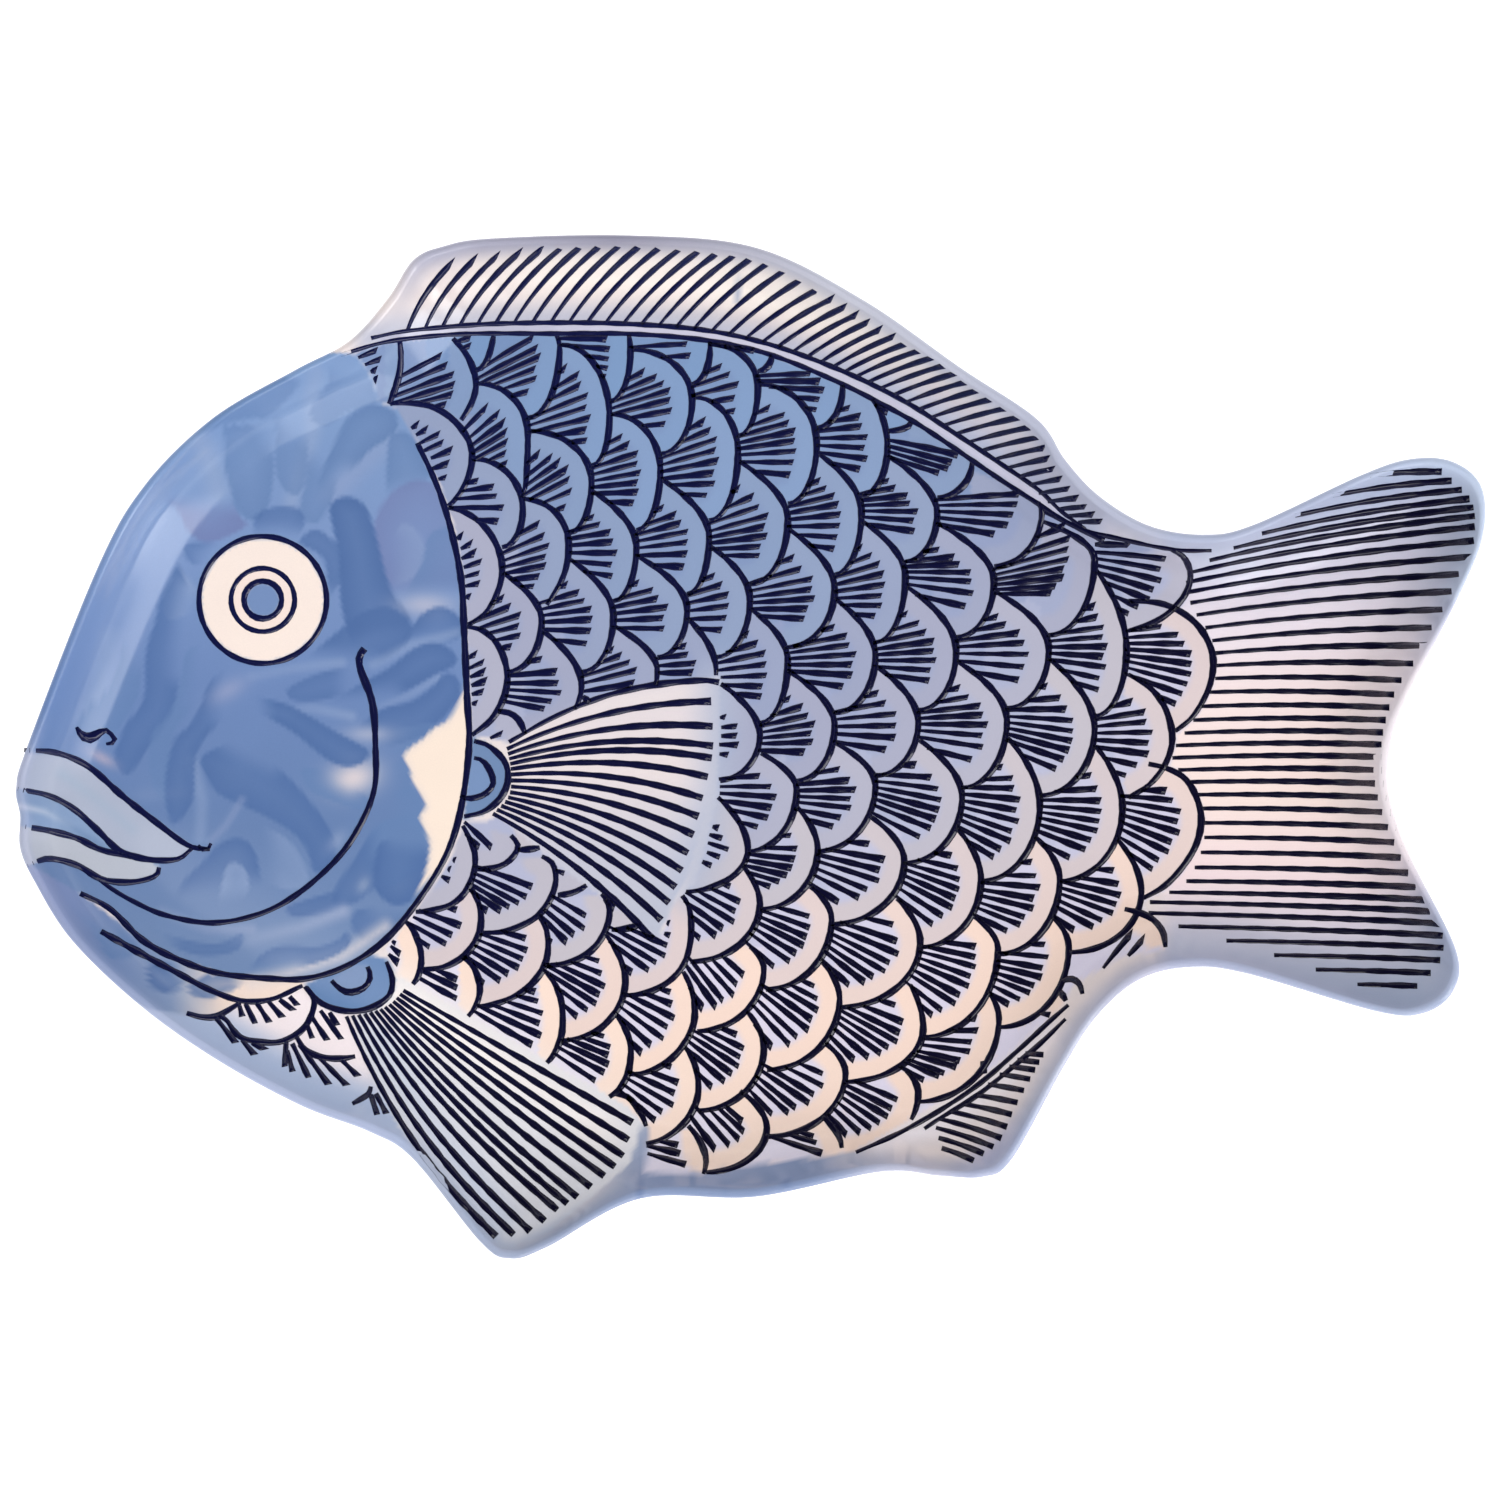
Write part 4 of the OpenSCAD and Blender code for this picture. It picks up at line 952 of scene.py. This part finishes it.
# The foil's material shows the washes through the glaze, with a fine grain like that of printed paper
glaze, shader, place = new_material("printed foil under clear glaze")
print_colour = place.value_of("ShaderNodeAttribute", "Color", {"attribute_name": "print"})
grain = place.noise(2600.0, 2.0, 0.7)
blotch = place.noise(60.0, 3.0, 0.6)
tint = (grain * 0.6 + blotch * 0.4).mix(rgba((236, 236, 238)), rgba((255, 255, 255)))
full = place.value_of(
    "ShaderNodeMix", 2, {"data_type": "RGBA", "blend_type": "MULTIPLY"}, Factor=1.0, i6=print_colour, i7=tint
)
full.feed(shader, "Base Color")
(blotch * 0.03 + 0.11).feed(shader, "Roughness")
ripple = place.noise(28.0, 1.0)
waves = place.value_of("ShaderNodeBump", 0, Height=ripple, Strength=0.04, Distance=0.001)
waves.feed(shader, "Normal")
shader.inputs["IOR"].default_value = 1.5

unwrapped = face_places[:, :2] / platter_length + (0.5, 0.64)
unwrapped[skin_first:] = face_places[skin_first:, :2] / platter_length * 0.3 + (0.2, 0.12)
printed_face = add_piece(
    "print_foil_decorated", face_places, face_faces, glaze, ["print_foil"], ledge, unwrapped
)
colours = np.ones((len(face_places), 4))
colours[:skin_first, :3] = linear(np.clip(painted, 0, 255))
colours[skin_first:, :3] = linear((230, 230, 232))
attribute = printed_face.data.color_attributes.new("print", "FLOAT_COLOR", "POINT")
attribute.data.foreach_set("color", colours.ravel())

# The lines of the drawing are brush strokes of navy ink in the print. Each one is a thin film of ink
# that lies on the printed face and follows it up the wall. The ink is bluer towards the crown.
ink_thick, ink_sunk = 0.05, 0.035
ink, shader, place = new_material("navy ink")
flow = place.noise(160.0, 3.0)
place_x = place.value_of("ShaderNodeSeparateXYZ", "X", Vector=place)
place_y = place.value_of("ShaderNodeSeparateXYZ", "Y", Vector=place)
toward_crown = place.value_of(
    "ShaderNodeMapRange", 0, Value=place_y - place_x * 0.7 + flow * 0.02,
    From_Min=-0.06, From_Max=0.14, To_Min=0.0, To_Max=1.0,
)
ink_colour = toward_crown.mix(rgba((9, 7, 36)), rgba((12, 18, 66)))
ink_colour.feed(shader, "Base Color")
(flow * 0.04 + 0.12).feed(shader, "Roughness")
shader.inputs["IOR"].default_value = 1.5


class Brushwork:
    """Strokes in pixels of the frame, gathered into one piece of ink."""

    def __init__(self):
        self.places, self.faces, self.sides = [], [], []

    def stroke(self, line, widths, closed=False, gap=6.0, blunt=None):
        """A stroke along a line, as wide as the widths spread along it; blunt is the way its end is cut."""
        line = np.asarray(line, float)
        if closed:
            line = np.vstack([line, line[:1]])
        gone = np.concatenate([[0], np.cumsum(np.hypot(*np.diff(line, axis=0).T))])
        if gone[-1] < 3:
            return
        count = max(3, int(round(gone[-1] / gap)) + 1)
        share = np.linspace(0, 1, count)
        line = np.stack([np.interp(share * gone[-1], gone, line[:, k]) for k in range(2)], 1)
        wide = np.interp(share, np.linspace(0, 1, len(widths)), widths)
        # The width wavers a little, as a brush's does
        waver = 1 + 0.10 * np.sin(line[:, 0] * 0.21 + line[:, 1] * 0.13) + 0.05 * np.sin(line[:, 1] * 0.47)
        wide = wide * waver
        if closed:
            line, wide = line[:-1], wide[:-1]
            along = np.roll(line, -1, 0) - np.roll(line, 1, 0)
        else:
            along = np.gradient(line, axis=0)
        out = np.stack([along[:, 1], -along[:, 0]], 1) / np.hypot(*along.T)[:, None]
        if blunt is not None:
            skew = np.asarray(blunt, float)
            skew = skew / np.hypot(*skew)
            skew = skew * np.sign(skew @ out[-1])
            out[-1] = skew / max(skew @ out[-1], 0.6)
        left, right = line + out * wide[:, None] / 2, line - out * wide[:, None] / 2
        edges = to_mm(np.vstack([left, right]))
        heights = height_over(edges)
        first = sum(len(block) for block in self.places)
        n = len(line)
        self.places.append(np.column_stack([edges, heights + ink_thick]))
        self.places.append(np.column_stack([edges, heights - ink_sunk]))
        k = np.arange(n if closed else n - 1)
        a, b = first + k, first + (k + 1) % n
        top = np.stack([a, a + n, b + n, b], 1)
        under = np.stack([a + 2 * n, b + 2 * n, b + 3 * n, a + 3 * n], 1)
        left_side = np.stack([a, b, b + 2 * n, a + 2 * n], 1)
        right_side = np.stack([a + n, a + 3 * n, b + 3 * n, b + n], 1)
        start = len(self.faces)
        self.faces += top.tolist()
        self.sides += range(start + len(top), start + 4 * len(top) + (0 if closed else 2))
        self.faces += under.tolist() + left_side.tolist() + right_side.tolist()
        if not closed:
            last = first + n - 1
            self.faces += [[first, first + 2 * n, first + 3 * n, first + n],
                           [last, last + n, last + 3 * n, last + 2 * n]]

    def piece(self, name, stands_for=()):
        return add_piece(name, np.vstack(self.places), self.faces, ink, stands_for, self.sides)


outline_widths = (4.0, 5.6, 6.4, 6.6, 6.6, 6.6, 6.4, 5.6, 4.0)

# The eye is three rings of ink, drawn round with a fine brush on its cream and blue discs
eye = Brushwork()
for radius, width in ((64, 5.4), (32, 5.0), (19, 6.0)):
    turn = np.radians(np.arange(0, 360, 6))
    eye.stroke(eye_centre + radius * np.stack([np.cos(turn), np.sin(turn)], 1), (width, width), closed=True)
eye.piece("eye_rings", ["eye_ink"])

# The mouth is the lines of both lips, each a single stroke that thins at its ends, and the nostril
mouth = Brushwork()
for line in lip_lines.values():
    mouth.stroke(smooth(line, 6), outline_widths)
mouth.stroke(smooth([(196, 846), (204, 852), (209, 844)], 4), (3, 4.5, 3))
mouth.stroke(smooth([(75, 727), (80, 735), (88, 738), (96, 734), (103, 730), (110, 735), (113, 742),
                     (104, 744)], 5),
             (3, 9, 10, 9, 6, 5, 5, 3))
mouth.piece("mouth_and_nostril_lines", ["mouth_ink"])

# The cheek line hooks round behind the eye and runs forward under the face, and the jaw line lies below it
cheek = Brushwork()
cheek.stroke(
    smooth([(363, 648), (358, 656), (359, 669), (371, 703), (374, 746), (373, 789), (358, 827), (335, 860),
            (297, 894), (258, 915), (210, 924), (163, 916), (131, 902), (109, 889), (96, 879)], 6),
    (7.5, 8, 6.2, 6, 6, 6, 5.6, 5.6, 5.4, 5, 4),
)
cheek.stroke(smooth([(100, 932), (139, 954), (178, 975), (206, 990), (239, 1002), (269, 1001),
                     (301, 987)], 6),
             (6, 7.4, 6.4, 6.2, 6, 5.6, 4))
cheek.piece("cheek_and_jaw_lines", ["cheek_ink"])

# The gill cover's line is one long stroke from the crown round to the chin
gill = Brushwork()
gill.stroke(smooth(gill_line, 5), (5, 6.6, 7, 7, 6.6, 6.6, 6.6, 6, 6, 7, 5))
gill.piece("gill_cover_line", ["gill_ink"])


def held(line, inside, outside=()):
    """The longest unbroken run of a line's points that lie inside one outline and outside the others."""
    keep = depth_inside(line, inside) > -1.5
    for outline in outside:
        keep &= depth_inside(line, outline) < 0.5
    best, start = (0, 0), None
    for k, kept in enumerate(list(keep) + [False]):
        if kept and start is None:
            start = k
        if not kept and start is not None:
            if k - start > best[1] - best[0]:
                best = (start, k)
            start = None
    return line[best[0]:best[1]]


# The scales are round arcs, and in each one a fan of short strokes that starts behind the scale before it.
# The strokes all point away from one place behind the scale's root and stop short of its rim.
rim_width, stroke_gap, behind_root, stroke_points = 21.5, 10.2, 70, 40
arcs, fans = Brushwork(), Brushwork()
for r, c in scales:
    arc = scale_arc(r, c, 36)
    line = held(arc, scaled_field)
    if len(line) > 3:
        arcs.stroke(line, (4.4, 6.2, 6.8, 7.0, 6.8, 6.2, 4.4))
    neighbours = ((r - 1, c - 1), (r + 1, c - 1), (r, c - 2))
    before = [scale_outlines[key] for key in neighbours if key in scale_outlines]
    tip = arc[len(arc) // 2]
    root = np.array(fan_roots.get((r, c), tips[r, c - 2]), float)
    axis = (tip - root) / np.hypot(*(tip - root))
    source = root - behind_root * axis
    along_arc = np.gradient(arc, axis=0)
    inward_of_arc = np.stack([-along_arc[:, 1], along_arc[:, 0]], 1) / np.hypot(*along_arc.T)[:, None]
    ends = held(arc + inward_of_arc * rim_width, scaled_field, before)
    if (r, c) in fan_ends:
        ends = smooth(fan_ends[r, c], 4)
    if len(ends) < 3:
        continue
    chord = ends[-1] - ends[0]
    chord_long = np.hypot(*chord)
    count = max(1, int(round(chord_long / stroke_gap)))
    shares = (ends - ends[0]) @ chord / chord_long**2
    for k in range(count):
        share = (k + 0.5 + 0.12 * math.sin(7 * k + 3 * r + 5 * c)) / count
        end = np.array([np.interp(share, shares, ends[:, j]) for j in range(2)])
        end = end + axis * 2.0 * math.sin(3 * k + 2 * r + 7 * c)
        way = end - source
        bow = np.array([-way[1], way[0]]) * 0.03 * (k / max(count - 1, 1) - 0.6)
        t = np.linspace(0, 1, stroke_points)[:, None]
        line = source + way * t + bow * 4 * t * (1 - t)
        clear = depth_inside(line, scaled_field) > -1
        for outline in before:
            clear &= depth_inside(line, outline) < 2.0
        last = first = stroke_points - 1
        while first > 0 and clear[first - 1]:
            first -= 1
        if first < last:
            fat = 6.6 + 0.8 * math.sin(5 * k + r - c)
            fans.stroke(line[first:], (fat * 0.5, fat * 0.76, fat * 0.95, fat), gap=5.0, blunt=(3.5, -10))

# Under the jaw three small scales and the ends of some fans show, and one arc by the anal fin
for line in (
    [(186, 1014), (200, 1018), (214, 1018), (226, 1012), (239, 1004)],
    [(217, 1016), (226, 1022), (232, 1031), (241, 1039), (257, 1043), (275, 1044), (288, 1040), (299, 1033),
     (307, 1023), (312, 1010), (312, 1000), (303, 988)],
    [(295, 1038), (303, 1050), (315, 1057), (329, 1060), (343, 1060), (354, 1058)],
    [(370, 1088), (368, 1095), (361, 1100), (352, 1105)],
    [(1062, 983), (1072, 980), (1080, 985), (1083, 995)],
):
    arcs.stroke(smooth(line, 5), (4.4, 6.2, 6.4, 6.2, 4.4), gap=4.0)
for ax, ay, bx, by in (
    (238, 1007, 241, 1018), (244, 1005, 254, 1025), (255, 1004, 268, 1024), (267, 1003, 281, 1019),
    (278, 1001, 292, 1012), (288, 998, 296, 1007), (305, 1025, 311, 1040), (310, 1018, 326, 1042),
    (319, 1012, 340, 1041), (328, 1014, 336, 1027), (215, 1019, 235, 1044), (241, 1041, 254, 1056),
    (251, 1044, 264, 1051), (285, 1042, 284, 1068), (286, 1052, 292, 1073), (291, 1045, 308, 1079),
    (298, 1046, 328, 1086), (319, 1060, 346, 1087), (340, 1061, 357, 1078), (370, 1096, 377, 1116),
    (375, 1095, 386, 1115),
):
    fans.stroke(np.linspace((ax, ay), (bx, by), 5), (4.6, 5.2, 6.4), gap=4.0, blunt=(10, -2))
arcs.piece("scale_arcs", ["scale_ink"])
fans.piece("scale_fans")


def rays(work, roots, tips_line, count, gaps, bows, widths, blunt=None):
    """A fin's rays, spread evenly along two guide curves; the bows bend the first ray and the last one."""
    for k in range(count):
        share = k / gaps
        a, b = on_curve(roots, share), on_curve(tips_line, share)
        bow = (bows[0] + (bows[1] - bows[0]) * share) * np.array([b[1] - a[1], a[0] - b[0]])
        t = np.linspace(0, 1, 12)[:, None]
        work.stroke(a + (b - a) * t + bow * 4 * t * (1 - t), widths, gap=8.0, blunt=blunt)


# The back fin has a double line along the back and slanting rays over it, each with a blunt upper end
back = Brushwork()
line_widths = (3.6, 4.8, 5.2, 5.2, 5.0, 5.2, 5.2, 4.8, 3.6)
back.stroke(smooth(back_upper_line, 5), line_widths)
back.stroke(smooth(back_lower_line, 5), line_widths)
rays(back,
     [(407, 328), (477, 321), (550, 320), (623, 321), (693, 327), (762, 340), (822, 359), (868, 380),
      (918, 408), (970, 440), (1020, 475), (1058, 508), (1100, 533)],
     [(453, 260), (543, 247), (623, 242), (702, 248), (771, 260), (833, 297), (881, 328), (936, 356),
      (981, 389), (1033, 426), (1054, 468), (1086, 506), (1118, 534)],
     count=47, gaps=48, bows=(0.06, 0.0), widths=(3.4, 4.6, 5.6, 6.0), blunt=(6, -12))
back.piece("back_fin_lines", ["back_fin_ink"])

# The side fin has a half disc at its root, a line along its top and bowed rays
side = Brushwork()
side.stroke(smooth([(473, 741), (488, 746), (504, 762), (507, 781), (499, 799), (483, 812), (463, 817)], 5),
            outline_widths)
side.stroke(smooth([(473, 758), (482, 761), (490, 773), (492, 785), (483, 795), (468, 799), (459, 796)], 5),
            outline_widths)
side.stroke(smooth([(508, 742), (551, 718), (601, 697), (651, 685), (700, 680), (719, 682)], 5),
            (4, 5, 6, 7, 6))
rays(side, [(506, 749), (510, 771), (508, 796), (492, 814)],
     [(711, 701), (713, 740), (711, 762), (703, 796), (696, 826), (687, 856), (677, 884), (666, 910),
      (652, 940)],
     count=14, gaps=13, bows=(0.055, 0.045), widths=(4, 5.4, 6.8, 7.2))
side.piece("side_fin_lines", ["side_fin_ink"])

# The belly fin has a half disc under the jaw and rays that widen towards its edge
belly = Brushwork()
belly.stroke(smooth([(305, 988), (316, 1002), (332, 1010), (351, 1013), (371, 1009), (388, 997), (391, 980),
                     (385, 963)], 5), outline_widths)
belly.stroke(smooth([(330, 982), (338, 990), (349, 994), (363, 989), (369, 978), (366, 968)], 5),
             outline_widths)
rays(belly, [(402, 992), (388, 1006), (369, 1014), (345, 1018)],
     [(632, 1125), (623, 1158), (604, 1178), (577, 1199), (557, 1212), (530, 1233), (496, 1238)],
     count=13, gaps=12, bows=(0, -0.052), widths=(4, 5.2, 6.6, 7))
belly.piece("belly_fin_lines", ["belly_fin_ink"])

# The anal fin has a double line, which opens at its front, and short rays
anal = Brushwork()
anal.stroke(smooth([(856, 1154), (900, 1135), (940, 1113), (980, 1086), (1019, 1052), (1050, 1023),
                    (1069, 1006)], 5), line_widths)
anal.stroke(smooth([(925, 1131), (940, 1121), (980, 1096), (1019, 1064), (1044, 1042), (1066, 1020)], 5),
            line_widths)
rays(anal, [(1026, 1055), (1003, 1074), (970, 1102), (938, 1123), (942, 1150)],
     [(1044, 1056), (1032, 1078), (1015, 1110), (1000, 1142), (974, 1162)],
     count=12, gaps=11, bows=(0, 0.02), widths=(4.4, 5.6, 6.4))
anal.piece("anal_fin_lines", ["anal_fin_ink"])

# The tail has long rays alone, from the last scales out to both lobes
tail = Brushwork()
rays(tail, tail_roots,
     [(1442, 471), (1470, 498), (1475, 526), (1467, 573), (1440, 627), (1402, 680), (1386, 720), (1381, 757),
      (1386, 798), (1402, 843), (1423, 888), (1440, 924), (1441, 961), (1405, 1000)],
     count=39, gaps=39, bows=(0.02, 0), widths=(4, 5.2, 6.4, 6.6))
tail.piece("tail_fin_lines", ["tail_fin_ink"])

# The stage: a pale floor, soft studio panels whose shapes show in the glaze, and the camera straight above
floor_mesh = bpy.data.meshes.new("floor")
reach = 3.0
floor_mesh.from_pydata([(-reach, -reach, 0), (reach, -reach, 0), (reach, reach, 0), (-reach, reach, 0)], [],
                       [(0, 1, 2, 3)])
floor = bpy.data.objects.new("floor", floor_mesh)
bpy.context.scene.collection.objects.link(floor)
paper, shader, place = new_material("white paper")
seen = place.node("ShaderNodeLightPath")
shown = Value(paper.node_tree, seen.outputs["Is Camera Ray"])
for name in ("Is Glossy Ray", "Is Transmission Ray"):
    shown = shown.sum("MAXIMUM", shown, Value(paper.node_tree, seen.outputs[name]))
# What the camera and mirrors see of the floor is plain white; what it lights is only its own colour
(shown * 0.62).feed(shader, "Emission Strength")
shader.inputs["Emission Color"].default_value = (1, 1, 1, 1)
shader.inputs["Base Color"].default_value = rgba((238, 238, 240))
shader.inputs["Roughness"].default_value = 0.9
shader.inputs["Specular IOR Level"].default_value = 0.0
floor_mesh.materials.append(paper)

world = bpy.data.worlds.new("studio")
bpy.context.scene.world = world
world.use_nodes = True
ground = world.node_tree.nodes["Background"]
light_path = world.node_tree.nodes.new("ShaderNodeLightPath")
scattered = Value(world.node_tree, light_path.outputs["Is Diffuse Ray"])
mirrored = Value(world.node_tree, light_path.outputs["Is Glossy Ray"])
way_seen = Value(world.node_tree, world.node_tree.nodes.new("ShaderNodeTexCoord").outputs["Generated"])
upward = way_seen.value_of("ShaderNodeSeparateXYZ", "Z", Vector=way_seen)
overhead = way_seen.value_of(
    "ShaderNodeMapRange", 0, {"interpolation_type": "SMOOTHSTEP"}, Value=upward, From_Min=0.05, From_Max=0.35,
)
# The white surround lights all sides evenly, but is nearly dark overhead in what the glaze mirrors
level = 1 - scattered * 0.08 - mirrored * overhead * 0.97
level.feed(ground, "Strength")
ground.inputs["Color"].default_value = (1, 1, 1, 1)


def panel(name, spot, azimuth, elevation, distance, wide, high, brightness):
    """A soft panel seen from that spot of the platter in that direction; the glaze mirrors its brightness."""
    lamp = bpy.data.lights.new(name, "AREA")
    lamp.shape = "RECTANGLE"
    lamp.size, lamp.size_y = wide, high
    lamp.energy = brightness * math.pi * wide * high
    a, e = math.radians(azimuth), math.radians(elevation)
    way = Vector((math.cos(a) * math.cos(e), math.sin(a) * math.cos(e), math.sin(e)))
    item = bpy.data.objects.new(name, lamp)
    item.location = Vector((*(to_mm(spot) / 1000), 0.01)) + way * distance
    item.rotation_euler = way.to_track_quat("Z", "Y").to_euler()
    bpy.context.scene.collection.objects.link(item)


panel("panel that the brow mirrors", (150, 580), azimuth=-31, elevation=28, distance=1.4,
      wide=0.29, high=1.45, brightness=4.4)
panel("panel that the tail mirrors", (1300, 545), azimuth=-74, elevation=32, distance=3.0,
      wide=1.00, high=2.40, brightness=2.2)
panel("panel that the belly fin mirrors", (530, 1080), azimuth=65, elevation=83.5, distance=5.0,
      wide=0.60, high=0.60, brightness=1.3)

camera_data = bpy.data.cameras.new("camera")
camera = bpy.data.objects.new("camera", camera_data)
bpy.context.scene.collection.objects.link(camera)
frame_pixels, sensor_width, camera_above = 1500, 36.0, 4.0
pixel = platter_length / (edge_high - edge_low)[0]
middle_of_frame = to_mm((frame_pixels / 2, frame_pixels / 2)) / 1000
camera.location = (*middle_of_frame, (platter_height - lip_radius) / 1000 + camera_above)
camera_data.sensor_width = sensor_width
camera_data.lens = sensor_width * camera_above / (frame_pixels * pixel / 1000)
bpy.context.scene.camera = camera
bpy.context.scene.view_settings.view_transform = "Standard"
